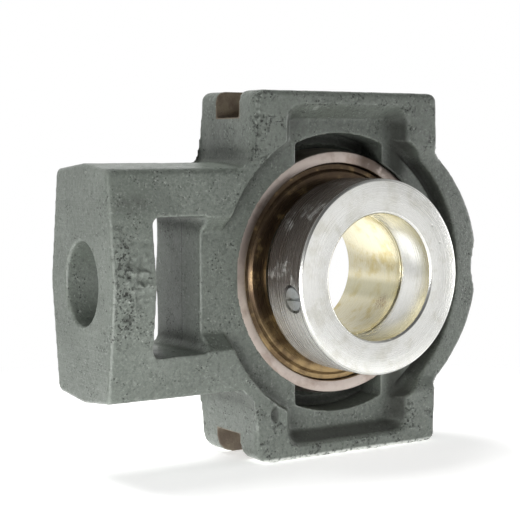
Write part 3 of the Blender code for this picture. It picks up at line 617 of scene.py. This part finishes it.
def is_cast(place):
    """1 on surfaces left as cast, 0 on the milled lug end, guide grooves and spherical seat."""
    from_end = ramp(place.x - LUG_END, 0.3 * MM, 1.5 * MM)
    off_groove = max(ramp(abs(place.y), GROOVE_HALF_WIDTH, GROOVE_HALF_WIDTH + MM),
                     ramp(GROOVE_DEPTH_FROM - abs(place.z), 0, MM))
    radius = math.hypot(place.x, place.z)
    off_seat = max(ramp(radius, SEAT_REACH, SEAT_REACH + MM),
                   ramp(abs(place.y), SEAT_HALF_WIDTH, SEAT_HALF_WIDTH + 0.5 * MM))
    return from_end * off_groove * off_seat


def on_ragged_edge(place):
    """The upper ear's front left edge, where the sand broke away."""
    if place.z < 31 * MM:
        return 0
    off = (Vector((place.x, place.y)) - RAGGED_EDGE).length
    return 1 - ramp(off, 0.4 * MM, RAGGED_REACH)


def on_rough_face(place):
    """The lug's front face, left rough between its end and the nut slot."""
    across = ramp(place.x, ROUGH_FACE_X[0], ROUGH_FACE_X[0] + 2 * MM)
    across *= 1 - ramp(place.x, ROUGH_FACE_X[1] - 2 * MM, ROUGH_FACE_X[1])
    along = 1 - ramp(abs(place.z), ROUGH_FACE_HALF_HEIGHT - 4 * MM, ROUGH_FACE_HALF_HEIGHT)
    return across * along * (1 - ramp(place.y, LUG_FRONT + 0.5 * MM, LUG_FRONT + 2 * MM))


def clouds(name, size):
    """A soft noise for a Displace modifier, with lumps of a given size."""
    texture = bpy.data.textures.new(name, "CLOUDS")
    texture.noise_scale = size
    texture.noise_depth = 2
    return texture


def wave(piece, group, size, height, middle=0.5):
    """Moves a group's surface in and out by a noise. A middle over 0.5 takes away more than it adds."""
    modify(piece, "DISPLACE", texture=clouds(group + "_clouds", size), texture_coords="LOCAL",
           strength=height, mid_level=middle, vertex_group=group)


weigh(casting, "cast", is_cast)
modify(casting, "SMOOTH", factor=0.5, iterations=1)
modify(casting, "SMOOTH", factor=0.5, iterations=3, vertex_group="cast")
wave(casting, "cast", CASTING_WAVE, CASTING_WAVE_HEIGHT)
weigh(casting, "ragged_edge", on_ragged_edge)
wave(casting, "ragged_edge", RAGGED_WAVE, RAGGED_WAVE_HEIGHT, 0.62)
weigh(casting, "rough_face", on_rough_face)
wave(casting, "rough_face", ROUGH_WAVE, ROUGH_WAVE_HEIGHT, 0.54)


def in_dent(centre, reach):
    """A rule that gives 1 in the middle of an oval hollow and 0 at its rim."""
    def rule(place):
        off = Vector([(place[i] / MM - centre[i]) / reach[i] for i in range(3)])
        return 1 - ramp(off.length, 0.35, 1)

    return rule


for name, (centre, reach, depth) in DENTS.items():
    weigh(casting, name, in_dent(centre, reach))
    modify(casting, "DISPLACE", direction="Y", strength=depth * MM, mid_level=0, vertex_group=name)

modify(casting, "DECIMATE", ratio=min(1.0, HOUSING_TRIANGLES / triangles(casting)))
make_active(casting)
bpy.ops.object.shade_smooth()
casting.data.materials.append(enamel)
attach(casting, "housing")
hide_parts("housing")
print("casting:", triangles(casting), "triangles")


# %% [markdown]
# ## A lathe from a circle
# Rings, collars and screws are turned on a lathe, and so is their model: a circle is added at the first
# corner of the section, and each further corner extrudes it along the axis and resizes it about the axis,
# until the section closes on itself. A section is a short list of corners in millimetres, radius first.
# A third number lifts the circle off centre, for the cam that locks an eccentric collar.

# %% Turned sections
TURN_STEPS = 160


def turned(name, section, steps=TURN_STEPS, edge=0.0, segments=2):
    """A closed ring round the shaft axis, from the corners of its section, with its edges rounded."""
    corners = [(*corner, 0.0)[:3] for corner in section]
    radius, y, lift = corners[0]
    deselect()
    bpy.ops.mesh.primitive_circle_add(vertices=steps, radius=radius * MM,
                                      location=SHAFT + Vector((0, y, lift)) * MM,
                                      rotation=(math.pi / 2, 0, 0))
    piece = bpy.context.object
    piece.name = name
    bpy.ops.object.transform_apply(location=True, rotation=True, scale=True)
    bpy.ops.object.mode_set(mode="EDIT")
    bpy.ops.mesh.select_all(action="SELECT")
    for next_radius, next_y, next_lift in corners[1:] + corners[:1]:
        move = Vector((0, next_y - y, next_lift - lift)) * MM
        bpy.ops.mesh.extrude_edges_move(TRANSFORM_OT_translate={"value": move})
        scale = next_radius / radius
        bpy.ops.transform.resize(value=(scale, 1, scale),
                                 center_override=SHAFT + Vector((0, next_y, next_lift)) * MM)
        radius, y, lift = next_radius, next_y, next_lift
    bpy.ops.mesh.select_all(action="SELECT")
    bpy.ops.mesh.remove_doubles(threshold=0.001 * MM)
    bpy.ops.mesh.normals_make_consistent(inside=False)
    bpy.ops.object.mode_set(mode="OBJECT")
    if edge:
        modify(piece, "BEVEL", width=edge * MM, segments=segments, limit_method="ANGLE",
               angle_limit=math.radians(20))
    make_active(piece)
    bpy.ops.object.shade_smooth_by_angle(angle=math.radians(32))
    return piece


def dress(piece, material, body, slot, *replaced):
    """Gives a finished piece its material and its body, and hides the solids that it stands for. slot is not
    used.
    """
    piece.data.materials.clear()
    piece.data.materials.append(material)
    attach(piece, body)
    if replaced:
        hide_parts(*replaced)
    print(piece.name, "on", body, "with", triangles(piece), "triangles")


# %% [markdown]
# ## Machined steel
# A lathe tool leaves rings as fine as its feed, and a grinding wheel leaves finer ones. Both follow the
# radius on a face and the length on a barrel, so a noise read along radius plus length draws them on
# either. Light oil and handling add soft clouds and a few specks of rust. Brown painted shade darkens
# upper parts, where dark surroundings shade the steel and are mirrored in it, and a straw-coloured
# painted band stands for a reflection in the bore. Steel is a metal: its colour is in its reflection,
# and the rings show because they tilt that reflection. Zinc plate and a rough cut also send on some
# light in all directions, like paper.

# %% Steel materials
TOOL_VALLEY = "#4a4742"
BROWN_SHADE = "#43352b"
BAND_REFLECTION = "#a3a186"
RUST = "#84592f"
RUST_GRIT = 0.3 * MM
RUST_REACH = (3.2 * MM, 1.2 * MM)

# A fine feed is about 0.1 mm. Rings are drawn at 0.25 to 0.6 mm, as coarse as they need to be to show.
GROUND_LINE = 0.25 * MM
TURNED_LINE = 0.6 * MM


def machined_steel(name, clean, stained, rough, line=0.4 * MM, line_depth=0.01 * MM, line_tone=0.0,
                   stain=(0.45, 0.7), patch=6.0 * MM, scatter=0.0, flank=None, painted_shade_from=None,
                   band=None, rust=None):
    """Steel with tool rings about the shaft axis and soft stains.

    line and line_depth are the rings' spacing and depth, and line_tone is how dark their valleys are.
    stain holds the two noise levels between which the stain comes in, and patch is its size. scatter
    is the share of light that goes on in all directions. flank is the radius and the place along the
    shaft past which the tool cut deeper. painted_shade_from is the (x, z) from which a brown painted
    shade grows over the upper parts, band the two heights between which a painted reflection lies, and
    rust the middle of a few specks. These are in mm.
    """
    material, tree, shader = new_material(name)
    centred, axis = about_shaft(tree)
    flat = add_node(tree, "ShaderNodeCombineXYZ", {"X": axis["X"], "Y": axis["Z"]})
    radius = add_node(tree, "ShaderNodeVectorMath", {0: flat.outputs[0]}, operation="LENGTH").outputs["Value"]
    run = add_node(tree, "ShaderNodeMath", {0: radius, 1: axis["Y"]}).outputs[0]
    rings = add_node(tree, "ShaderNodeTexNoise", {"W": run, "Scale": 1 / line, "Detail": 4.0,
                                                  "Roughness": 0.75}, noise_dimensions="1D").outputs["Fac"]
    cloud = add_node(tree, "ShaderNodeTexNoise", {"Vector": centred, "Scale": 1 / patch, "Detail": 5.0,
                                                  "Roughness": 0.6}).outputs["Fac"]
    deep = 1.0
    relief = 1.0
    shader.inputs["Metallic"].default_value = 1.0 - scatter
    if flank:
        deep = overlap(tree, masked(tree, radius, (flank[0] - 0.3) * MM, flank[0] * MM),
                       masked(tree, axis["Y"], (flank[1] - 0.3) * MM, flank[1] * MM))
        relief = add_node(tree, "ShaderNodeMapRange", {"Value": deep, "To Min": 0.15}).outputs[0]
        metal = add_node(tree, "ShaderNodeMapRange", {"Value": deep, "To Min": 1.0, "To Max": 1.0 - scatter})
        tree.links.new(metal.outputs[0], shader.inputs["Metallic"])

    films = [(masked(tree, cloud, *stain), 1.0, srgb(stained))]
    if line_tone:
        valleys = overlap(tree, masked(tree, rings, 0.55, 0.38), deep)
        films.append((valleys, line_tone, srgb(TOOL_VALLEY)))
    # Brown painted shade grows over the upper parts, where dark surroundings shade the steel and are mirrored
    # in it.
    if painted_shade_from:
        brown = overlap(tree, masked(tree, axis["X"], painted_shade_from[0] * MM, (painted_shade_from[0] + 6) * MM),
                        masked(tree, axis["Z"], painted_shade_from[1] * MM, (painted_shade_from[1] + 12) * MM),
                        masked(tree, cloud, 0.28, 0.46), deep)
        films.append((brown, 0.85, srgb(BROWN_SHADE)))
    if rust:
        off = add_node(tree, "ShaderNodeVectorMath", {0: centred, 1: [c * MM for c in rust]},
                       operation="DISTANCE").outputs["Value"]
        grit = add_node(tree, "ShaderNodeTexNoise", {"Vector": centred, "Scale": 1 / RUST_GRIT,
                                                     "Detail": 1.0})
        specks = overlap(tree, masked(tree, grit.outputs["Fac"], 0.50, 0.56), masked(tree, off, *RUST_REACH))
        films.append((specks, 1.0, srgb(RUST)))
    # The band is a painted reflection across the bore.
    if band:
        films.append((zone(tree, axis, {"Z": (*band, 1.2)}), 0.55, srgb(BAND_REFLECTION)))
    tree.links.new(coated(tree, srgb(clean), films), shader.inputs["Base Color"])

    shine = add_node(tree, "ShaderNodeMapRange", {"Value": rings, "From Min": 0.3, "From Max": 0.7,
                                                  "To Min": rough - 0.07, "To Max": rough + 0.09}).outputs[0]
    tree.links.new(shine, shader.inputs["Roughness"])
    bump = add_node(tree, "ShaderNodeBump", {"Height": rings, "Strength": relief, "Distance": line_depth})
    tree.links.new(bump.outputs[0], shader.inputs["Normal"])
    return material


# Ground steel has close lines and a soft grey sheen, here with brown painted shade towards its upper right.
ground_steel = machined_steel("ground_bearing_steel", "#c4b8b0", "#a8988e", 0.34, line=GROUND_LINE,
                              painted_shade_from=(4, 20))
# In the bore an oil film makes the ground steel straw yellow, and a few specks of rust have begun.
# Across it lies a painted band that stands for a reflection.
bore_steel = machined_steel("ground_bearing_steel_under_an_oil_film", "#e6dfc2", "#d2c28c", 0.22,
                            line=GROUND_LINE, band=(-8.5, -3.5), rust=(14.7, -10.5, -9.3))
# Free-cutting steel turns bright. The collar's face is cut fine, and its barrel shows deeper, darker rings.
# Its barrel carries brown painted shade towards the top, where it mirrors the dark housing.
turned_steel = machined_steel("turned_free_cutting_steel", "#ecece8", "#dddcd4", 0.24, line=TURNED_LINE,
                              line_depth=0.18 * MM, line_tone=0.5, scatter=0.35, flank=(18.5, -28.6),
                              painted_shade_from=(-60, -11))
# Polished chrome steel mirrors what surrounds it, nearly without lines.
ball_steel = machined_steel("polished_chrome_steel", "#c9cbcc", "#bfc1c2", 0.12, line_depth=0.002 * MM)
# Bright zinc plate is blue-white and a little milky, because its fine crystals scatter light.
zinc_plate = machined_steel("bright_zinc_plate_on_steel", "#c2c5c6", "#a3a69f", 0.32, scatter=0.35)
# Yellow chromate over zinc looks like dull brass that drifts to brown.
# Their upper parts carry brown painted shade, for the collar's shadow and its reflection.
chromate = machined_steel("yellow_chromate_on_zinc_plated_steel", "#a38b64", "#6f5b42", 0.30,
                          stain=(0.42, 0.66), patch=5.0 * MM, scatter=0.2, painted_shade_from=(-60, -22))
# Drawn stainless wire has an even, slightly blurred shine.
spring_wire = machined_steel("drawn_stainless_spring_wire", "#b4b4b0", "#94948e", 0.3)
print("steels:", [m.name for m in bpy.data.materials if "steel" in m.name])


# %% [markdown]
# ## Rubber and nylon
# The seal lips are nitrile rubber, moulded matt black with a faint bloom. The ball cage is glass-filled
# nylon: a cream plastic with short pale fibres under its skin, waxy to the eye. Both are hidden for the
# most part, but a part is seen from all sides and in pieces.

# %% Rubber and nylon materials
def moulded(name, first, second, rough, grain, depth, stretch=1.0):
    """A moulded plastic or rubber with two tones and a fine grain."""
    material, tree, shader = new_material(name)
    spot = add_node(tree, "ShaderNodeTexCoord")
    place = add_node(tree, "ShaderNodeMapping", {"Vector": spot.outputs["Object"], "Scale": (1, stretch, 1)})
    tone = add_node(tree, "ShaderNodeTexNoise", {"Vector": place.outputs[0], "Scale": 1 / grain,
                                                 "Detail": 4.0}).outputs["Fac"]
    colour = coated(tree, srgb(first), [(masked(tree, tone, 0.4, 0.65), 1.0, srgb(second))])
    tree.links.new(colour, shader.inputs["Base Color"])
    shader.inputs["Roughness"].default_value = rough
    bump = add_node(tree, "ShaderNodeBump", {"Height": tone, "Strength": 0.5, "Distance": depth})
    tree.links.new(bump.outputs[0], shader.inputs["Normal"])
    return material


# Nitrile rubber is matt and near black, with a faint grey bloom.
rubber = moulded("nitrile_rubber", "#1f1e1d", "#2c2a28", 0.62, 0.5 * MM, 0.02 * MM)
# Glass-filled nylon is cream and waxy. Its fibres, far finer than they are drawn, lie along the shaft.
nylon = moulded("glass_filled_nylon", "#cdbf9c", "#b9a982", 0.42, 0.35 * MM, 0.02 * MM, 0.25)
print("moulded:", rubber.name, nylon.name)


# %% [markdown]
# ## The bearing rings
# The outer ring is a ball outside, so it can tilt in the housing's seat, and it holds a ball groove and two
# seal seats inside. The inner ring grips the shaft and ends at the front in an eccentric nose.

# %% Outer and inner ring
PITCH = 26.75
GROOVE_RADIUS = 5.856
OUTER_LAND = 30.3
INNER_LAND = 23.45
RING_RADIUS = 36.0
RING_HALF_WIDTH = 8.5
SEAL_SEAT = 31.7
SEAL_SEAT_DEPTH = 3.2
BORE = 17.5
INNER_FRONT = -15.9
INNER_BACK = 9.5
CAM = 22.0
CAM_END = -12.5
CAM_LIFT = 0.8
BALL_FACE_STEPS = 16
GROOVE_STEPS = 12


def ball_groove(land, sign):
    """The round bottom of a ball groove. sign is 1 in the outer ring and -1 in the inner ring."""
    half = math.acos(abs(land - PITCH) / GROOVE_RADIUS)
    turn = [half * (2 * i / GROOVE_STEPS - 1) for i in range(GROOVE_STEPS + 1)]
    return [(PITCH + sign * GROOVE_RADIUS * math.cos(a), GROOVE_RADIUS * math.sin(a)) for a in turn]


half_turn = math.asin(RING_HALF_WIDTH / RING_RADIUS)
outside = [(RING_RADIUS * math.cos(a), RING_RADIUS * math.sin(a))
           for a in (half_turn * (2 * i / BALL_FACE_STEPS - 1) for i in range(BALL_FACE_STEPS + 1))]
seat_floor = RING_HALF_WIDTH - SEAL_SEAT_DEPTH
seal_seat = [(SEAL_SEAT, RING_HALF_WIDTH), (SEAL_SEAT, seat_floor), (OUTER_LAND, seat_floor)]
section = outside + seal_seat + list(reversed(ball_groove(OUTER_LAND, 1)))
section += [(r, -y) for r, y in reversed(seal_seat)]
outer_ring = turned("outer_ring_ground", section, edge=0.25, segments=3)
dress(outer_ring, ground_steel, "insert", "ring_steel", "outer_ring")

section = [(BORE, INNER_FRONT), (CAM, INNER_FRONT, CAM_LIFT), (CAM, CAM_END, CAM_LIFT)]
section += [(INNER_LAND, CAM_END)] + ball_groove(INNER_LAND, -1)
section += [(INNER_LAND, INNER_BACK), (BORE, INNER_BACK)]
inner_ring = turned("inner_ring_ground", section, edge=0.35, segments=3)
dress(inner_ring, bore_steel, "inner_ring", "ring_steel", "inner_ring")


# %% [markdown]
# ## The seals
# Each seal is a sandwich: a pressed washer outside, a rubber lip that rubs on the inner ring, and a second
# washer inside. A press leaves soft bends, so the sections have rounded corners. The front and the back
# seal are alike, mirrored, so one loop makes all six rings.

# %% Seals
SEAL_GAP = 0.3
WASHER_THICKNESS = 0.4
RIM_WIDTH = 1.4
DISH = 1.1
DISH_RUN = 0.8
WASHER_BORE = 24.6
FACE_LEVEL = 8.3
LIP_BORE = 23.75

for side, end in ((-1, "front"), (1, "back")):
    for layer, (kind, bore, look, slot) in enumerate((
            ("outer_washer", WASHER_BORE, chromate, "seal_washer"),
            ("lip", LIP_BORE, rubber, "seal_rubber"),
            ("inner_washer", WASHER_BORE, chromate, "seal_washer"))):
        level = FACE_LEVEL - layer * (WASHER_THICKNESS + SEAL_GAP)
        rim = SEAL_SEAT - SEAL_GAP
        top = [(rim, level - DISH), (rim - RIM_WIDTH, level - DISH), (rim - RIM_WIDTH - DISH_RUN, level),
               (bore, level)]
        under = [(r, y - WASHER_THICKNESS) for r, y in reversed(top)]
        section = [(r, side * y) for r, y in top + under]
        ring = turned(f"{end}_seal_{kind}_pressed", section, edge=0.16, segments=3)
        dress(ring, look, "insert", slot, f"{end}_seal_{kind}")


# %% [markdown]
# ## The locking collar
# The collar is turned from bar. Inside its back it has an eccentric recess: a turn of the collar wedges it
# on the ring's nose. A screw hole and a blind drift hole are drilled in its barrel, and two punch marks sit
# on its face. The holes are cylinders taken away by a Boolean modifier, as a drill would take the metal.

# %% Collar
COLLAR = 27.5
COLLAR_BORE = 17.8
COLLAR_FRONT = -29.4
COLLAR_BACK = -12.9
COLLAR_CHAMFER = 0.6
RECESS = 22.4
RECESS_FLOOR = -16.2
HOLE_LEVEL = COLLAR_FRONT + 4.8
SCREW_HOLE = 4.0
SCREW_ANGLE = math.radians(190.7)
DRIFT_HOLE = 3.3
DRIFT_DEPTH = 4.0
PUNCH_MARKS = ((18.1, 13.9), (21.0, 9.0))
PUNCH_RADIUS = 0.75
PUNCH_DEPTH = 0.4


def across(angle, radius, y=HOLE_LEVEL):
    """A point at an angle round the shaft, in metres."""
    return SHAFT + Vector((radius * math.cos(angle), y, radius * math.sin(angle))) * MM


def pointing(direction):
    """The turn that lays a primitive's own Z axis along a direction."""
    return Vector(direction).to_track_quat("Z", "Y").to_euler()


def drill(piece, radius, start, end, sides=48):
    """Takes a cylinder between two points out of a piece."""
    deselect()
    bpy.ops.mesh.primitive_cylinder_add(vertices=sides, radius=radius * MM, depth=(end - start).length,
                                        location=(start + end) / 2, rotation=pointing(end - start))
    tool = bpy.context.object
    bpy.ops.object.transform_apply(location=True, rotation=True, scale=True)
    modify(piece, "BOOLEAN", operation="DIFFERENCE", object=tool, solver="EXACT")
    bpy.data.objects.remove(tool)


section = [
    (COLLAR_BORE + COLLAR_CHAMFER, COLLAR_FRONT), (COLLAR - COLLAR_CHAMFER, COLLAR_FRONT),
    (COLLAR, COLLAR_FRONT + COLLAR_CHAMFER), (COLLAR, COLLAR_BACK - COLLAR_CHAMFER),
    (COLLAR - COLLAR_CHAMFER, COLLAR_BACK), (RECESS, COLLAR_BACK, CAM_LIFT),
    (RECESS, RECESS_FLOOR, CAM_LIFT), (COLLAR_BORE, RECESS_FLOOR),
    (COLLAR_BORE, COLLAR_FRONT + COLLAR_CHAMFER),
]
collar = turned("locking_collar_turned", section, edge=0.12)
drill(collar, SCREW_HOLE, across(SCREW_ANGLE, BORE - 2), across(SCREW_ANGLE, COLLAR + 2))
drill(collar, DRIFT_HOLE, across(0, COLLAR - DRIFT_DEPTH), across(0, COLLAR + 2))
for x, z in PUNCH_MARKS:
    deselect()
    bpy.ops.mesh.primitive_cone_add(vertices=24, radius1=PUNCH_RADIUS * MM, depth=2 * PUNCH_DEPTH * MM,
                                    location=SHAFT + Vector((x, COLLAR_FRONT, z)) * MM,
                                    rotation=pointing((0, 1, 0)))
    punch = bpy.context.object
    bpy.ops.object.transform_apply(location=True, rotation=True, scale=True)
    modify(collar, "BOOLEAN", operation="DIFFERENCE", object=punch, solver="EXACT")
    bpy.data.objects.remove(punch)
make_active(collar)
bpy.ops.object.shade_smooth_by_angle(angle=math.radians(32))
dress(collar, turned_steel, "eccentric_collar", "collar_steel", "eccentric_collar")


# %% [markdown]
# ## The set screw
# The screw that holds the collar to the shaft is a slotted grub screw of plated steel. It is turned with
# its thread as rings, which look the same as a helix when they are so fine. The whole piece is then stood
# on its end, and a slot is taken out of its top with a thin block, as a saw blade would cut it.

# %% Set screw
SCREW = 3.7
SCREW_LENGTH = 8.8
SCREW_TOP = COLLAR - 0.4
SCREW_SLOT = 0.9
SCREW_SLOT_DEPTH = 1.6
SCREW_SLOT_TURN = math.radians(2)
SCREW_PITCH = 1.0
THREAD_DEPTH = 0.45


def threaded(radius, start, end, pitch, depth):
    """The zigzag of a thread's section between two stations along its axis."""
    turns = int(abs(end - start) / pitch)
    step = (end - start) / turns
    teeth = []
    for i in range(turns):
        teeth += [(radius - depth, start + step * i), (radius, start + step * (i + 0.5))]
    return teeth + [(radius - depth, end)]


def stand(piece, direction, foot):
    """Turns a piece made along the shaft axis to lie along a direction, with its origin at a foot."""
    turn = Vector((0, 1, 0)).rotation_difference(Vector(direction)).to_matrix().to_4x4()
    piece.matrix_world = Matrix.Translation(foot) @ turn @ Matrix.Translation(-SHAFT)
    make_active(piece)
    bpy.ops.object.transform_apply(location=True, rotation=True, scale=True)


section = [(0.02, 0), (SCREW - 1.2, 0)] + threaded(SCREW, 0.6, SCREW_LENGTH - 0.5, SCREW_PITCH, THREAD_DEPTH)
section += [(SCREW - 0.5, SCREW_LENGTH), (0.02, SCREW_LENGTH)]
screw = turned("set_screw_threaded", section, steps=64, edge=0.05)
outward = Vector((math.cos(SCREW_ANGLE), 0, math.sin(SCREW_ANGLE)))
stand(screw, outward, across(SCREW_ANGLE, SCREW_TOP - SCREW_LENGTH))
deselect()
bpy.ops.mesh.primitive_cube_add(size=1, location=across(SCREW_ANGLE, SCREW_TOP), rotation=(0, 0, 0),
                                scale=(2 * SCREW_SLOT_DEPTH * MM, 4 * SCREW * MM, SCREW_SLOT * MM))
blade = bpy.context.object
bpy.ops.object.transform_apply(location=False, rotation=False, scale=True)
lean = Matrix.Rotation(-SCREW_ANGLE, 3, "Y") @ Matrix.Rotation(SCREW_SLOT_TURN, 3, "X")
blade.rotation_euler = lean.to_euler()
bpy.ops.object.transform_apply(location=True, rotation=True, scale=True)
modify(screw, "BOOLEAN", operation="DIFFERENCE", object=blade, solver="EXACT")
bpy.data.objects.remove(blade)
dress(screw, zinc_plate, "collar_set_screw", "screw_steel", "collar_set_screw")


# %% [markdown]
# ## The grease nipple
# The nipple is turned from hexagon bar, so the model is turned too, with a round flange, and a hexagon prism
# then keeps only what lies inside it. The flange loses its sides, and the bevelled rim turns into the six
# small arcs that every real hexagon has.

# %% Grease nipple
NIPPLE_SEAT = 48.8
NIPPLE_END = 43.3
HEX_ACROSS = 8.0
HEX_TOP = 51.6
NECK_TOP = 53.6
NIPPLE_TOP = 57.2
NIPPLE_THREAD = 3.0
NECK = 2.3
HEAD = 3.2
NIPPLE_BORE = 1.7
NIPPLE_MOUTH = 0.9
HEX_CHAMFER = 0.35
HEAD_SPAN = (1.3, 2.2)
MOUTH_DEPTH = 0.7
MOUTH_CONE = 1.5

corner = HEX_ACROSS / math.sqrt(3)
section = [(NIPPLE_MOUTH, NIPPLE_END), (NIPPLE_THREAD - 0.5, NIPPLE_END)]
section += threaded(NIPPLE_THREAD, NIPPLE_END + 0.4, NIPPLE_SEAT - 0.8, SCREW_PITCH, THREAD_DEPTH)
section += [
    (NIPPLE_THREAD - 0.5, NIPPLE_SEAT), (corner, NIPPLE_SEAT),
    (corner, HEX_TOP - HEX_CHAMFER), (HEX_ACROSS / 2, HEX_TOP),
    (NECK + 0.3, HEX_TOP), (NECK, HEX_TOP + 0.5),
    (NECK, NECK_TOP), (HEAD, NECK_TOP + HEAD_SPAN[0]),
    (HEAD, NECK_TOP + HEAD_SPAN[1]), (NECK, NIPPLE_TOP),
    (NIPPLE_MOUTH, NIPPLE_TOP), (NIPPLE_MOUTH, NIPPLE_TOP - MOUTH_DEPTH),
    (NIPPLE_BORE, NIPPLE_TOP - MOUTH_CONE), (NIPPLE_BORE, NIPPLE_END + MOUTH_DEPTH),
    (NIPPLE_MOUTH, NIPPLE_END + MOUTH_DEPTH),
]
nipple = turned("grease_nipple_turned", section, steps=72, edge=0.06)
stand(nipple, (1, 0, 0), SHAFT)
deselect()
bpy.ops.mesh.primitive_cylinder_add(vertices=6, radius=corner * MM, depth=30 * MM,
                                    location=SHAFT + Vector((NIPPLE_SEAT, 0, 0)) * MM,
                                    rotation=pointing((1, 0, 0)))
bar = bpy.context.object
bpy.ops.object.transform_apply(location=True, rotation=True, scale=True)
modify(nipple, "BOOLEAN", operation="INTERSECT", object=bar, solver="EXACT")
bpy.data.objects.remove(bar)
make_active(nipple)
bpy.ops.object.shade_smooth_by_angle(angle=math.radians(32))
dress(nipple, zinc_plate, "housing", "plated_steel", "grease_nipple")


# %% [markdown]
# ## The balls
# Nine chrome steel balls run in the grooves. They are pressed from wire and lapped between two plates until
# they are round. The model starts as a cube: a subdivision gives it even squares with no poles, and a Cast
# modifier presses these onto a sphere. It is made once, and each ball is a copy with its own mesh.

# %% Balls
BALL_COUNT = 9
BALL_SUBDIVISIONS = 4

low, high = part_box("ball_1")
ball_radius = (high.x - low.x) / 2
deselect()
bpy.ops.mesh.primitive_cube_add(size=2 * ball_radius)
blank = bpy.context.object
modify(blank, "SUBSURF", levels=BALL_SUBDIVISIONS, render_levels=BALL_SUBDIVISIONS)
modify(blank, "CAST", cast_type="SPHERE", factor=1.0, use_radius_as_size=False, size=ball_radius)
bpy.ops.object.shade_smooth()
for number in range(1, BALL_COUNT + 1):
    low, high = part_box(f"ball_{number}")
    ball = bpy.data.objects.new(f"ball_{number}_lapped", blank.data.copy())
    bpy.context.collection.objects.link(ball)
    ball.location = (low + high) / 2
    make_active(ball)
    bpy.ops.object.transform_apply(location=True, rotation=True, scale=True)
    dress(ball, ball_steel, f"ball_{number}", "ball_steel", f"ball_{number}")
bpy.data.objects.remove(blank)


# %% [markdown]
# ## Solids that keep their shape
# The cage and the fine parts inside the nipple are hidden or tiny, and right as they are. They keep their
# solids and only get their finish.

# %% Carried-over solids
CARRIED = {
    "ball_cage": nylon,
    "nipple_check_ball": ball_steel,
    "nipple_spring": spring_wire,
}
for name, look in CARRIED.items():
    nodes[name].data.materials.clear()
    nodes[name].data.materials.append(look)
print("carried over:", ", ".join(CARRIED))
